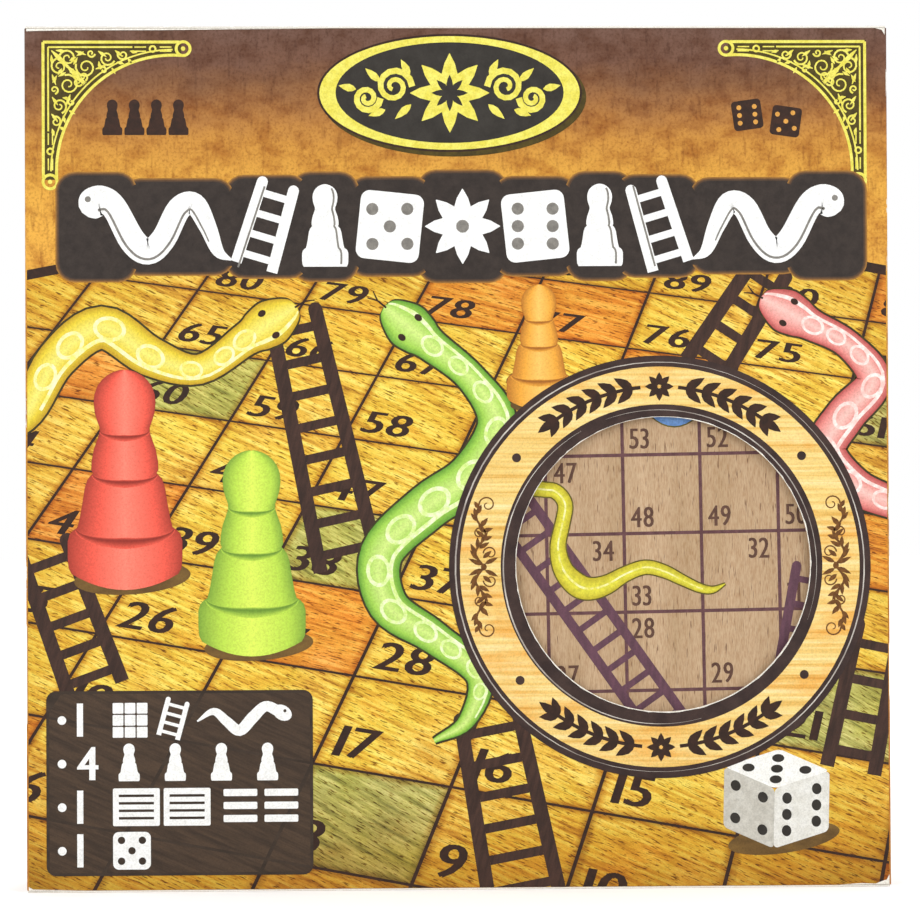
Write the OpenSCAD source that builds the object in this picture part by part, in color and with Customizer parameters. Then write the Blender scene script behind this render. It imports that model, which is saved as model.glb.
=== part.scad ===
// Boxed snakes and ladders set: a wooden game board held behind the round window of a
// tuck-end paperboard carton, with its four pawns, die and rules leaflet in the pocket
// behind it. The carton stands upright, its printed front faces -Y and +Z is up. The
// origin is on the ground, under the middle of the carton.

/* [Game board] */
// Side of the square plywood board
board_size = 256; // [246:1:300]
// Thickness of the plywood
board_t = 5; // [3:0.5:8]
// Radius of the board's corners
board_corner_r = 8; // [2:0.5:12]
// Lean of the board in its slot, anticlockwise from the front, in degrees
board_tilt = 0.9; // [0:0.1:1.2]
// Sideways place of the board's middle in the carton
board_shift = 1.4; // [0:0.1:1.6]

/* [Carton] */
// Thickness of the folding boxboard
stock_t = 0.6; // [0.4:0.05:0.8]
// Width inside the carton less the board's side
side_play = 9.8; // [9:0.1:16]
// Height inside the carton less the board's side
head_play = 9.8; // [9:0.1:16]
// Space between the front panel and the board
board_setback = 2; // [1:0.1:5]
// Depth of the pocket behind the insert, where the pieces are kept
pocket_depth = 28.6; // [22:0.1:50]

/* [Window] */
// Diameter of the round window
window_d = 91.2; // [40:0.1:110]
// Distance of the window's middle to the right of the carton's middle
window_x = 63.2; // [0:0.1:70]
// Height of the window's middle
window_z = 100.2; // [70:0.1:160]

/* [Closures] */
// Depth that the tuck tongue reaches into the carton
tongue_len = 12; // [9:0.5:13]
// Angle that the tucked tongue leans inwards, in degrees
tongue_lean = 10; // [10:0.5:12]
// Furthest that the tongue is bent inwards from there, in degrees
tongue_bend = 35; // [20:1:35]
// Radius of the tongue's free corners
tongue_corner_r = 6; // [3:0.5:8]
// Step from the end panel's side edge in to the tongue's
tongue_inset = 3; // [1.5:0.5:6]
// Length of a dust flap from its crease
dust_len = 32; // [20:1:36]
// Angle of the dust flap's cut front edge, in degrees
dust_relief = 33; // [31:1:36]
// Cut from the front of a dust flap's crease
dust_front_step = 0.8; // [0.6:0.1:2]
// Step from the tongue's crease to the dust flap's rear edge
dust_rear_step = 2.1; // [1.8:0.1:4]
// Radius of the dust flap's free corner
dust_corner_r = 4; // [1:0.5:5]

/* [Glue flap] */
// Width of the flap that is glued inside the back panel
glue_flap_w = 15; // [8:0.5:25]
// Fall of the glue flap's slanted ends
glue_flap_slant = 8; // [3:0.5:12]
// Step from the carton's end to the glue flap's root
glue_flap_step = 9; // [7:0.5:14]

/* [Insert] */
// Thickness of the insert's corrugated board
insert_t = 1.2; // [0.8:0.1:2]
// Play between the insert and the carton's side walls
insert_play = 1.5; // [0.8:0.1:3]
// Space between the pocket's side walls and the pieces next to them
pocket_margin = 13; // [8:1:16]

/* [Pawns] */
// Height of a pawn
pawn_h = 27; // [20:0.5:32]
// Diameter of a pawn's base
pawn_base_d = 14.8; // [11:0.1:18]
// Diameter of a pawn's head
pawn_head_d = 8.4; // [7.4:0.1:9.6]
// Diameter of a pawn's neck
pawn_neck_d = 6.2; // [4.8:0.1:7]
// Diameter of a pawn's collar
pawn_collar_d = 9.2; // [7.8:0.1:10.4]
// Middle distance between neighbouring pawns
pawn_pitch = 24; // [19:1:27]

/* [Die] */
// Side of the die
die_size = 12; // [8:0.5:16]
// Diameter of the ball that rounds the die's corners
die_ball_d = 16.8; // [16.4:0.1:17.2]
// Diameter of a drilled pip
pip_d = 2.2; // [1.4:0.1:2.4]
// Depth of a drilled pip
pip_depth = 0.5; // [0.2:0.1:0.8]
// Distance between the outer rows of pips
pip_spread = 5.6; // [5:0.1:6]

/* [Leaflet] */
// Width of the folded leaflet
leaflet_w = 105; // [80:1:120]
// Height of the leaflet
leaflet_h = 148.5; // [100:0.5:200]
// Thickness of its paper
paper_t = 0.2; // [0.1:0.05:0.3]
// Gap that the fold leaves between its leaves
leaf_gap = 0.3; // [0.2:0.05:0.6]

/* [Hidden] */

// Clearances
crease_gap = 0.05;
slide_gap = 0.3;
seat_gap = 0.1;
overrun = 1;

// Carton, worked out from what it holds
carton_w = board_size + side_play + 2 * stock_t;
carton_h = board_size + head_play + 2 * stock_t;
carton_d = 2 * stock_t + board_setback + board_t + insert_t + pocket_depth;
crease_r = stock_t / 2;
front_y = -carton_d / 2;
back_y = carton_d / 2;
inner_w = carton_w - 2 * stock_t;

// End closures, as they lie at the bottom. Heights count from the carton's end.
hinge_y = front_y + crease_r;
hinge_z = crease_r;
lid_w = carton_w - 2 * stock_t + 2 * slide_gap;
tongue_y = back_y - stock_t - slide_gap - crease_r;
tongue_w = lid_w - 2 * tongue_inset;
tongue_full_lean = tongue_lean + tongue_bend;
lid_end_top = crease_r + crease_gap;
lid_end_under = crease_r * (1 + sin(tongue_full_lean)) / cos(tongue_full_lean) + crease_gap;
dust_z = stock_t + crease_gap + crease_r;
dust_x = carton_w / 2 - crease_r;
dust_front_y = hinge_y + dust_front_step;
dust_rear_y = tongue_y - dust_rear_step;
wall_end_z = dust_z + crease_r + crease_gap;
floor_z = dust_z + crease_r + seat_gap;

// Insert and the board's slot
board_face_y = front_y + stock_t + board_setback;
board_back_y = board_face_y + board_t;
insert_w = inner_w - 2 * insert_play;
insert_back_y = board_back_y + insert_t;
insert_end_y = back_y - 2 * stock_t - slide_gap;
insert_wall_z = tongue_len + stock_t + slide_gap;
shelf_z = insert_wall_z + insert_t;
ledge_z = floor_z + insert_t;

// The tilted board stands on its lower left corner
board_reach = (board_size / 2 - board_corner_r) * (cos(board_tilt) + sin(board_tilt)) + board_corner_r;
board_z = ledge_z + seat_gap + board_reach;

// Places of the loose pieces: the pawns and the die in a row from the pocket's left wall,
// and the leaflet behind the board, up to the same margin from its right wall
pocket_y = (insert_back_y + insert_end_y) / 2;
pocket_end_x = insert_w / 2 - insert_t - pocket_margin;
first_pawn_x = -pocket_end_x + pawn_base_d / 2;
die_x = first_pawn_x + 4 * pawn_pitch;
leaflet_x = pocket_end_x - leaflet_w;
leaf_d = 2 * paper_t + leaf_gap;

// Turns a flat outline of (Y, Z) into a bar of this length along X
module along_x(length) {
    translate([-length / 2, 0, 0]) rotate([90, 0, 90]) linear_extrude(length) children();
}

// Lays a flat outline of (X, Z) up as a sheet, its front face at this Y
module upright(y, thickness) {
    translate([0, y + thickness, 0]) rotate([90, 0, 0]) linear_extrude(thickness) children();
}

// A block from one corner to the other
module block(low, high) {
    translate(low) cube(high - low);
}

// A rectangle on this middle, with round corners
module round_rectangle(w, h, r) {
    square([w - 2 * r, h], center = true);
    square([w, h - 2 * r], center = true);
    for (x = [-1, 1], y = [-1, 1])
        translate([x * (w / 2 - r), y * (h / 2 - r)]) circle(r, $fn = 48);
}

// Puts a closure that is drawn at the bottom on the carton's top
module at_top() {
    translate([0, 0, carton_h]) mirror([0, 0, 1]) children();
}

// Cross-section of a wide panel, whose upright creases bend over at both ends
module wide_panel_section() {
    translate([-carton_w / 2 + stock_t, 0]) square([carton_w - 2 * stock_t, stock_t]);
    intersection() {
        translate([-carton_w / 2, 0]) square([carton_w, stock_t]);
        for (side = [-1, 1])
            translate([side * (carton_w / 2 - stock_t), stock_t]) circle(stock_t, $fn = 48);
    }
}

// A front or back panel, standing between these heights with its outer face at y = 0
module wide_panel(low, high) {
    translate([0, 0, low]) linear_extrude(high - low) wide_panel_section();
}

module front_panel() {
    color("#d9983a") difference() {
        translate([0, front_y, 0])
            wide_panel(stock_t + crease_gap, carton_h - stock_t - crease_gap);
        translate([window_x, front_y - overrun, window_z]) rotate([-90, 0, 0])
            cylinder(d = window_d, h = stock_t + 2 * overrun, $fn = 128);
    }
}

module back_panel() {
    color("#c98836") translate([0, back_y, 0]) mirror([0, 1, 0]) wide_panel(0, carton_h);
}

// A side wall, from the dust flap's crease at the bottom to the one at the top
module side_panel(side) {
    outer_x = side * carton_w / 2;
    inner_x = side * inner_w / 2;
    block(
        [min(outer_x, inner_x), front_y + stock_t, wall_end_z],
        [max(outer_x, inner_x), back_y - stock_t, carton_h - wall_end_z]
    );
}

module left_side_panel() {
    color("#8a5f3c") side_panel(-1);
}

module right_side_panel() {
    color("#8a5f3c") side_panel(1);
}

module glue_flap() {
    root_x = -inner_w / 2;
    tip_x = root_x + glue_flap_w;
    color("#f4f1ea") upright(back_y - 2 * stock_t, stock_t)
        polygon([
            [root_x, glue_flap_step],
            [tip_x, glue_flap_step + glue_flap_slant],
            [tip_x, carton_h - glue_flap_step - glue_flap_slant],
            [root_x, carton_h - glue_flap_step],
        ]);
}

// End panel of a closure: a round crease at the front, and an underside cut back at the
// rear so that the tongue can bend
module lid_flap() {
    reach = tongue_y - hinge_y;
    translate([0, hinge_y, hinge_z]) along_x(lid_w) {
        circle(crease_r, $fn = 32);
        polygon([
            [0, -crease_r],
            [reach - lid_end_top, -crease_r],
            [reach - lid_end_under, crease_r],
            [0, crease_r],
        ]);
    }
}

// Tongue of a closure, creased along the end panel's rear edge
module tuck_tongue() {
    round_x = tongue_w / 2 - tongue_corner_r;
    round_z = tongue_len - tongue_corner_r;
    translate([0, tongue_y, hinge_z]) rotate([tongue_lean, 0, 0]) {
        along_x(tongue_w) circle(crease_r, $fn = 32);
        upright(-crease_r, stock_t) {
            translate([-tongue_w / 2, 0]) square([tongue_w, round_z]);
            translate([-round_x, 0]) square([2 * round_x, tongue_len]);
            for (side = [-1, 1]) translate([side * round_x, round_z]) circle(tongue_corner_r, $fn = 48);
        }
    }
}

// Outline of the left dust flap from above: the crease is at x = 0
module dust_flap_outline() {
    front_y_at_tip = dust_front_y + dust_len * tan(dust_relief);
    rear_corner = [dust_len - dust_corner_r, dust_rear_y - dust_corner_r];
    front_y_at_round = dust_front_y + (dust_len - dust_corner_r) * tan(dust_relief);
    polygon([
        [0, dust_front_y],
        [dust_len - dust_corner_r, front_y_at_round],
        [dust_len, front_y_at_tip],
        [dust_len, rear_corner[1]],
        rear_corner,
        [rear_corner[0], dust_rear_y],
        [0, dust_rear_y],
    ]);
    translate(rear_corner) circle(dust_corner_r, $fn = 48);
}

// The left dust flap of the bottom closure
module dust_flap() {
    translate([-dust_x, 0, dust_z]) {
        translate([0, dust_rear_y, 0]) rotate([90, 0, 0])
            cylinder(r = crease_r, h = dust_rear_y - dust_front_y, $fn = 32);
        translate([0, 0, -crease_r]) linear_extrude(stock_t) dust_flap_outline();
    }
}

module top_lid_flap() {
    color("#6e4e48") at_top() lid_flap();
}

module top_tuck_tongue() {
    color("#6e4e48") at_top() tuck_tongue();
}

module top_dust_flap_left() {
    color("#f4f1ea") at_top() dust_flap();
}

module top_dust_flap_right() {
    color("#f4f1ea") at_top() mirror([1, 0, 0]) dust_flap();
}

module bottom_lid_flap() {
    color("#a3a353") lid_flap();
}

module bottom_tuck_tongue() {
    color("#a3a353") tuck_tongue();
}

module bottom_dust_flap_left() {
    color("#f4f1ea") dust_flap();
}

module bottom_dust_flap_right() {
    color("#f4f1ea") mirror([1, 0, 0]) dust_flap();
}

// The wall of the insert that the board leans on
module insert_back_wall() {
    color("#b98d5e") block(
        [-insert_w / 2, board_back_y, floor_z],
        [insert_w / 2, insert_back_y, carton_h - floor_z]
    );
}

// The lip that the board stands on, folded forwards from the back wall
module insert_ledge() {
    color("#b98d5e") block(
        [-insert_w / 2, board_face_y, floor_z],
        [insert_w / 2, board_back_y, ledge_z]
    );
}

// The floor of the pocket, above the tongue of the bottom closure
module insert_shelf() {
    color("#b98d5e") block(
        [-insert_w / 2 + insert_t, insert_back_y, insert_wall_z],
        [insert_w / 2 - insert_t, insert_end_y, shelf_z]
    );
}

// A side wall of the pocket, folded backwards from the back wall
module insert_side_wall(side) {
    outer_x = side * insert_w / 2;
    inner_x = side * (insert_w / 2 - insert_t);
    block(
        [min(outer_x, inner_x), insert_back_y, insert_wall_z],
        [max(outer_x, inner_x), insert_end_y, carton_h - insert_wall_z]
    );
}

module insert_left_wall() {
    color("#b98d5e") insert_side_wall(-1);
}

module insert_right_wall() {
    color("#b98d5e") insert_side_wall(1);
}

module game_board() {
    color("#c2a27e") translate([board_shift, 0, board_z]) rotate([0, -board_tilt, 0])
        upright(board_face_y, board_t) round_rectangle(board_size, board_size, board_corner_r);
}

// Half outline of a turned pawn below its head, from the base up. The shares of the height
// mark the turner's cuts: a straight foot, a sloping shoulder, a waist and a grooved collar.
module pawn_body_outline() {
    base_r = pawn_base_d / 2;
    collar_r = pawn_collar_d / 2;
    neck_r = pawn_neck_d / 2;
    rim_share = 0.06;
    foot_share = 0.2;
    shoulder_share = 0.3;
    shoulder_width_share = 0.79;
    waist_share = 0.51;
    collar_shares = [0.53, 0.59, 0.61, 0.66];
    groove_share = 0.6;
    neck_share = 0.69;
    waist_r = (neck_r + 3 * collar_r) / 4;
    polygon([
        [0, 0],
        [base_r - rim_share * base_r, 0],
        [base_r, rim_share * base_r],
        [base_r, foot_share * pawn_h],
        [base_r * shoulder_width_share, shoulder_share * pawn_h],
        [waist_r, waist_share * pawn_h],
        [collar_r, collar_shares[0] * pawn_h],
        [collar_r, collar_shares[1] * pawn_h],
        [waist_r, groove_share * pawn_h],
        [collar_r, collar_shares[2] * pawn_h],
        [collar_r, collar_shares[3] * pawn_h],
        [neck_r, neck_share * pawn_h],
        [neck_r, pawn_h - pawn_head_d / 2],
        [0, pawn_h - pawn_head_d / 2],
    ]);
}

// A turned wooden pawn, standing on the shelf at this X
module pawn(x) {
    translate([x, pocket_y, shelf_z]) {
        rotate_extrude($fn = 64) pawn_body_outline();
        translate([0, 0, pawn_h - pawn_head_d / 2]) sphere(d = pawn_head_d, $fn = 64);
    }
}

module pawn_green() {
    color("#a8d84a") pawn(first_pawn_x);
}

module pawn_red() {
    color("#e0463a") pawn(first_pawn_x + pawn_pitch);
}

module pawn_yellow() {
    color("#e8962a") pawn(first_pawn_x + 2 * pawn_pitch);
}

module pawn_blue() {
    color("#2f6fc4") pawn(first_pawn_x + 3 * pawn_pitch);
}

// Places of the pips on a face, in units of half their spread
function pip_places(count) = concat(
    count % 2 == 1 ? [[0, 0]] : [],
    count > 1 ? [[-1, -1], [1, 1]] : [],
    count > 3 ? [[-1, 1], [1, -1]] : [],
    count == 6 ? [[-1, 0], [1, 0]] : []
);

// Balls that drill one face's pips, with the face turned to +Z
module pips(count) {
    ball_r = (pow(pip_d / 2, 2) + pow(pip_depth, 2)) / (2 * pip_depth);
    for (place = pip_places(count))
        translate([
            place[0] * pip_spread / 2,
            place[1] * pip_spread / 2,
            die_size / 2 - pip_depth + ball_r,
        ]) sphere(ball_r, $fn = 48);
}

// Opposite faces add up to seven
module die() {
    color("#f2efe6") translate([die_x, pocket_y, shelf_z + die_size / 2]) difference() {
        intersection() {
            cube(die_size, center = true);
            sphere(d = die_ball_d, $fn = 96);
        }
        pips(1);
        rotate([180, 0, 0]) pips(6);
        rotate([90, 0, 0]) pips(2);
        rotate([-90, 0, 0]) pips(5);
        rotate([0, 90, 0]) pips(3);
        rotate([0, -90, 0]) pips(4);
    }
}

// A sheet folded once, seen from above: two leaves and the round fold at the left
module leaflet_section() {
    leaf_w = leaflet_w - leaf_d / 2;
    translate([0, -leaf_d / 2]) square([leaf_w, paper_t]);
    translate([0, leaf_d / 2 - paper_t]) square([leaf_w, paper_t]);
    difference() {
        circle(leaf_d / 2, $fn = 48);
        circle(leaf_gap / 2, $fn = 48);
        translate([0, -leaf_d]) square(2 * leaf_d);
    }
}

module instruction_leaflet() {
    color("#f7f4ec") translate([leaflet_x, insert_back_y + seat_gap + leaf_d / 2, shelf_z])
        linear_extrude(leaflet_h) leaflet_section();
}

front_panel();
back_panel();
left_side_panel();
right_side_panel();
glue_flap();
top_lid_flap();
top_tuck_tongue();
top_dust_flap_left();
top_dust_flap_right();
bottom_lid_flap();
bottom_tuck_tongue();
bottom_dust_flap_left();
bottom_dust_flap_right();
insert_back_wall();
insert_ledge();
insert_shelf();
insert_left_wall();
insert_right_wall();
game_board();
pawn_green();
pawn_red();
pawn_yellow();
pawn_blue();
die();
instruction_leaflet();
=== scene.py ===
"""Looks of a boxed snakes and ladders set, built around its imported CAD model.

Lengths are in millimetres, and become metres where a mesh is placed. Print is drawn in the flat
frame of the face that carries it, as it looks from straight in front of that face: x runs to
the right, y upwards, and each printed layer lies a little further out than the one below it.
"""

import logging
import math
import random
from collections.abc import Callable, Iterable, Sequence
from dataclasses import dataclass, field
from enum import Enum

import bmesh
import bpy
from mathutils import Matrix, Vector


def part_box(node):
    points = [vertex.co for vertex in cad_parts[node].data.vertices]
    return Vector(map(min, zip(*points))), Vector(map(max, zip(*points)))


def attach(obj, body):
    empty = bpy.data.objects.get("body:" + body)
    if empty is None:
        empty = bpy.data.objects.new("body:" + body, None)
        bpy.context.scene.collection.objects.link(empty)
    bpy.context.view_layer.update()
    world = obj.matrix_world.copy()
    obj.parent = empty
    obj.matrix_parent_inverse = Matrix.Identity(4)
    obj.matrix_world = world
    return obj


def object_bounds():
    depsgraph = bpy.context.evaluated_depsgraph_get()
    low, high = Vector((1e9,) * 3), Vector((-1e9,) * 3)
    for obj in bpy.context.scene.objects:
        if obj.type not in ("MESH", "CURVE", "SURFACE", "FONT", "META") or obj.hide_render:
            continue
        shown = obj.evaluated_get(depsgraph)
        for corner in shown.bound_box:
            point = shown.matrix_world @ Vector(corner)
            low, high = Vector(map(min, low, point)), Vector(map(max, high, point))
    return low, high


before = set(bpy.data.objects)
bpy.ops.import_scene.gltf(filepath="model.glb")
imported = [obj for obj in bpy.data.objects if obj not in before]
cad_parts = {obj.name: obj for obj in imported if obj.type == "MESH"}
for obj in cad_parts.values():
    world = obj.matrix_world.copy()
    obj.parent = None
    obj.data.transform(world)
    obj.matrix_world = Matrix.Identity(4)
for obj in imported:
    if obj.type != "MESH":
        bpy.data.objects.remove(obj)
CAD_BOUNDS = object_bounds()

MM = 0.001

# Height of a layer of print, and the steps by which the shapes of one layer are lifted
LAYER = 0.016
LIFT = 0.0009
LIFTS = 16
SCROLL_STEPS = 22

# Sizes that part.scad also states and the frame can't be asked for
STOCK_T = 0.6
BOARD_TILT = 0.9
TONGUE_LEAN = 10
TONGUE_Y = 17.8
CREASE_R = 0.3
WINDOW = (63.2, 100.2)
WINDOW_RADIUS = 45.6
DIE_BALL = 8.4
CAD_BOX = tuple(Vector(corner) / MM for corner in CAD_BOUNDS)

Point = tuple[float, float]
Waypoint = tuple[float, float, float]
Stops = tuple[tuple[float, str], ...]
Socket = bpy.types.NodeSocket
Inputs = dict | tuple

log = logging.getLogger("boxed_set")


# Materials


def linear(colour: str) -> tuple[float, float, float, float]:
    """Turns an sRGB hex colour into linear light.

    Args:
        colour: The colour, such as "#c2a27e".

    Returns:
        Red, green, blue and an alpha of 1.
    """
    channels = (int(colour[i:i + 2], 16) / 255 for i in (1, 3, 5))
    return (*(c / 12.92 if c <= 0.04045 else ((c + 0.055) / 1.055) ** 2.4 for c in channels), 1.0)


# How one colour darkens another, and how it covers it
DARKEN = {"data_type": "RGBA", "blend_type": "MULTIPLY"}
COVER = {"data_type": "RGBA", "blend_type": "MIX"}


@dataclass(frozen=True)
class Nodes:
    """The shader nodes of one material or world."""

    tree: bpy.types.NodeTree

    def fill(self, node: bpy.types.Node, inputs: Inputs) -> None:
        """Sets a node's inputs, and links those whose value is a socket.

        Args:
            node: The node.
            inputs: A value or a socket for each input by name or number, or for the first ones in turn.
        """
        for key, value in inputs.items() if isinstance(inputs, dict) else enumerate(inputs):
            if isinstance(value, Socket):
                self.tree.links.new(value, node.inputs[key])
            else:
                node.inputs[key].default_value = value

    def add(
        self, kind: str, inputs: Inputs = (), out: int | str = 0, stops: Stops = (), **settings: object
    ) -> Socket:
        """Adds one node with its settings and links.

        Args:
            kind: Blender's type name without its ShaderNode prefix.
            inputs: A value or a socket for each input by name or number, or for the first ones in turn.
            out: The output that is wanted, by name or number.
            stops: Position and hex colour of each stop, on a colour ramp.
            **settings: The node's own properties.

        Returns:
            The node's output socket.
        """
        made = self.tree.nodes.new("ShaderNode" + kind)
        for name, value in settings.items():
            setattr(made, name, value)
        self.fill(made, inputs)
        for place, (position, colour) in enumerate(stops):
            elements = made.color_ramp.elements
            element = elements[place] if place < 2 else elements.new(position)
            element.position, element.color = position, linear(colour)
        return made.outputs[out]

    def grain(self, size: Sequence[float], turn: float = 0.0, detail: float = 3.0) -> Socket:
        """Noise whose grains have a real size.

        Args:
            size: Size of a grain along X, Y and Z, in millimetres.
            turn: Angle that the grain is turned about Y, in degrees.
            detail: Octaves of finer noise.

        Returns:
            The noise, from 0 to 1.
        """
        place = self.add("Mapping", {
            "Vector": self.add("TexCoord", out="Object"), "Rotation": (0.0, math.radians(turn), 0.0),
            "Scale": [length * MM for length in size],
        }, vector_type="TEXTURE")
        return self.add("TexNoise", {"Vector": place, "Scale": 1.0, "Detail": detail, "Roughness": 0.6})

    def tinted(
        self, size: Sequence[float], *stops: tuple[float, str], turn: float = 0.0, detail: float = 3.0
    ) -> Socket:
        """Such a grain as a colour, given by the stops of its ramp."""
        return self.add("ValToRGB", (self.grain(size, turn, detail),), stops=stops)

    def surface(self, inputs: dict) -> None:
        """Sets or links inputs of the material's Principled BSDF."""
        self.fill(self.tree.nodes["Principled BSDF"], inputs)


@dataclass(frozen=True)
class Finish:
    """A real surface, and the material that shows it."""

    name: str

    def material(self) -> bpy.types.Material:
        """Makes the material the first time.

        Returns:
            The material.
        """
        made = bpy.data.materials.get(self.name)
        if made is None:
            made = bpy.data.materials.new(self.name)
            made.use_nodes = True
            self.dress(Nodes(made.node_tree))
        return made

    def dress(self, nodes: Nodes) -> None:
        """Gives a new material its nodes."""
        raise NotImplementedError


@dataclass(frozen=True)
class Ink(Finish):
    """Offset ink under a water-based varnish: satin, and a little uneven where the stock took it."""

    tones: Stops
    size: Waypoint = (2.2, 2.2, 2.2)
    turn: float = 0.0
    across: Stops = ()
    cloud: Stops = ()
    cloud_size: Waypoint = (38, 38, 30)
    fleck: Stops = ()
    fleck_size: Waypoint = (3.2, 3.2, 0.43)
    roughness: float = 0.45

    def dress(self, nodes: Nodes) -> None:
        """Mixes the tones by the mottle, then shades the shape's width and broad clouds over it.

        Args:
            nodes: The material's nodes.
        """
        base = nodes.tinted(self.size, *self.tones, turn=self.turn, detail=4)
        shades: list[Socket] = []
        if self.across:
            side = nodes.add("Attribute", out="Fac", attribute_name="across")
            share = nodes.add("MapRange", {"Value": side, "From Min": -1.0})
            shades.append(nodes.add("ValToRGB", (share,), stops=self.across))
        for stops, size, turn, detail in (
            (self.cloud, self.cloud_size, 0.0, 5.0), (self.fleck, self.fleck_size, self.turn, 1.5),
        ):
            if stops:
                shades.append(nodes.tinted(size, *stops, turn=turn, detail=detail))
        # The halftone screen, drawn at about three times its real 0.15 mm
        shades.append(nodes.tinted((0.45,) * 3, (0.3, "#ececec"), (0.6, "#ffffff"), detail=1))
        for shade in shades:
            base = nodes.add("Mix", {0: 1.0, 6: base, 7: shade}, 2, **DARKEN)
        nodes.surface({"Base Color": base, "Roughness": self.roughness, "Specular IOR Level": 0.22})


@dataclass(frozen=True)
class FoldingBoxboard(Finish):
    """White-lined boxboard, litho printed on its outer side and bare, fibrous and matt elsewhere."""

    stops: Stops
    outer: tuple[tuple[Waypoint, float, float], ...] = ()
    length: float = 267.0
    crease: tuple[str, float] = ("X", 133.2)

    def dress(self, nodes: Nodes) -> None:
        """Lays the print over the bare board.

        Args:
            nodes: The material's nodes.
        """
        fibre = nodes.grain((0.5, 0.5, 1.6), detail=4)
        base, gloss = nodes.add("ValToRGB", (fibre,), stops=((0.3, "#e4dfd3"), (0.7, "#f4f1e9"))), 0.8
        if self.outer:
            printed = self.printed(nodes)
            base = nodes.add("Mix", {0: printed, 6: base, 7: self.ground(nodes)}, 2, **COVER)
            gloss = nodes.add("MapRange", {"Value": printed, "To Min": 0.8, "To Max": 0.42})
        nodes.surface({
            "Base Color": base, "Roughness": gloss, "Specular IOR Level": 0.22,
            "Normal": nodes.add("Bump", {"Strength": 1.0, "Distance": 0.004 * MM, "Height": fibre})})

    def ground(self, nodes: Nodes) -> Socket:
        """Fades the print's colours upwards, a little ragged, under blotches, specks and scratches.

        Args:
            nodes: The material's nodes.

        Returns:
            The colour.
        """
        ragged = nodes.add("Math", (nodes.grain((16, 16, 9)), 0.011, -0.0055), operation="MULTIPLY_ADD")
        height = nodes.add("SeparateXYZ", (nodes.add("TexCoord", out="Object"),), "Z")
        height = nodes.add("Math", (height, ragged), operation="ADD")
        rise = nodes.add("MapRange", {"Value": height, "From Max": self.length * MM})
        ground = nodes.add("ValToRGB", (rise,), stops=self.stops)
        for size, detail, colour, end, share in (
            ((7, 7, 5), 6, "#cdb498", 0.56, 1.0), ((0.9, 0.9, 0.9), 4, "#cdb9a2", 0.52, 0.8),
            ((1.7, 1.7, 8.5), 4, "#a98968", 0.45, 0.45),
        ):
            layer = nodes.tinted(size, (0.3, colour), (end, "#ffffff"), detail=detail)
            ground = nodes.add("Mix", {0: share, 6: ground, 7: layer}, 2, **DARKEN)
        return ground

    def printed(self, nodes: Nodes) -> Socket:
        """Finds where the board is printed: on its outer sides, but not where its creases are scuffed.

        Args:
            nodes: The material's nodes.

        Returns:
            1 where it is printed, and 0 elsewhere.
        """
        place, printed = nodes.add("TexCoord", out="Object"), 0.0
        for normal, distance, depth in self.outer:
            reach = nodes.add("VectorMath", (place, normal), "Value", operation="DOT_PRODUCT")
            outside = nodes.add("Math", (reach, (distance - depth) * MM), operation="GREATER_THAN")
            printed = nodes.add("Math", (outside, printed), operation="MAXIMUM")
        axis, limit = self.crease
        side = nodes.add("SeparateXYZ", (nodes.add("VectorMath", (place,), operation="ABSOLUTE"),), axis)
        edge = nodes.add("Math", (side, limit * MM), operation="GREATER_THAN")
        scuff = nodes.add("Math", (nodes.grain((5, 5, 23), detail=7), 0.57), operation="GREATER_THAN")
        worn = nodes.add("Math", (edge, scuff), operation="MULTIPLY")
        return nodes.add("Math", (printed, worn), operation="SUBTRACT", use_clamp=True)


@dataclass(frozen=True)
class BeechPlywood(Finish):
    """Rotary-cut beech veneer, sanded and bare: short dark flecks along the grain, and three plies
    that show on its edges."""

    front_y: float
    back_y: float

    def dress(self, nodes: Nodes) -> None:
        """Lays flecks 0.4 by 4 mm and broad figure over the plies.

        Args:
            nodes: The material's nodes.
        """
        depth = nodes.add("MapRange", {
            "Value": nodes.add("SeparateXYZ", (nodes.add("TexCoord", out="Object"),), "Y"),
            "From Min": self.front_y * MM, "From Max": self.back_y * MM})
        plies = nodes.add("ValToRGB", (depth,), stops=(
            (0.0, "#ffffff"), (0.33, "#ffffff"), (0.34, "#b08a6a"), (0.66, "#b08a6a"), (0.67, "#ffffff")))
        fleck = nodes.grain((0.44, 1.2, 4.8), detail=1.5)
        flecks = nodes.add("ValToRGB", (fleck,), stops=((0.28, "#7d5b44"), (0.36, "#ffffff")))
        fine = nodes.tinted((0.25, 0.8, 2.0), (0.3, "#e2d3c4"), (0.6, "#ffffff"), detail=2)
        base = nodes.tinted((9, 9, 70), (0.3, "#b29673"), (0.5, "#bda180"), (0.7, "#c7ab8a"), detail=5)
        for shade, share in ((plies, 1.0), (flecks, 0.75), (fine, 1.0)):
            base = nodes.add("Mix", {0: share, 6: base, 7: shade}, 2, **DARKEN)
        nodes.surface({
            "Base Color": base, "Roughness": 0.62, "Specular IOR Level": 0.3,
            "Normal": nodes.add("Bump", {"Strength": 1.0, "Distance": 0.02 * MM, "Height": fleck})})


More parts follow.
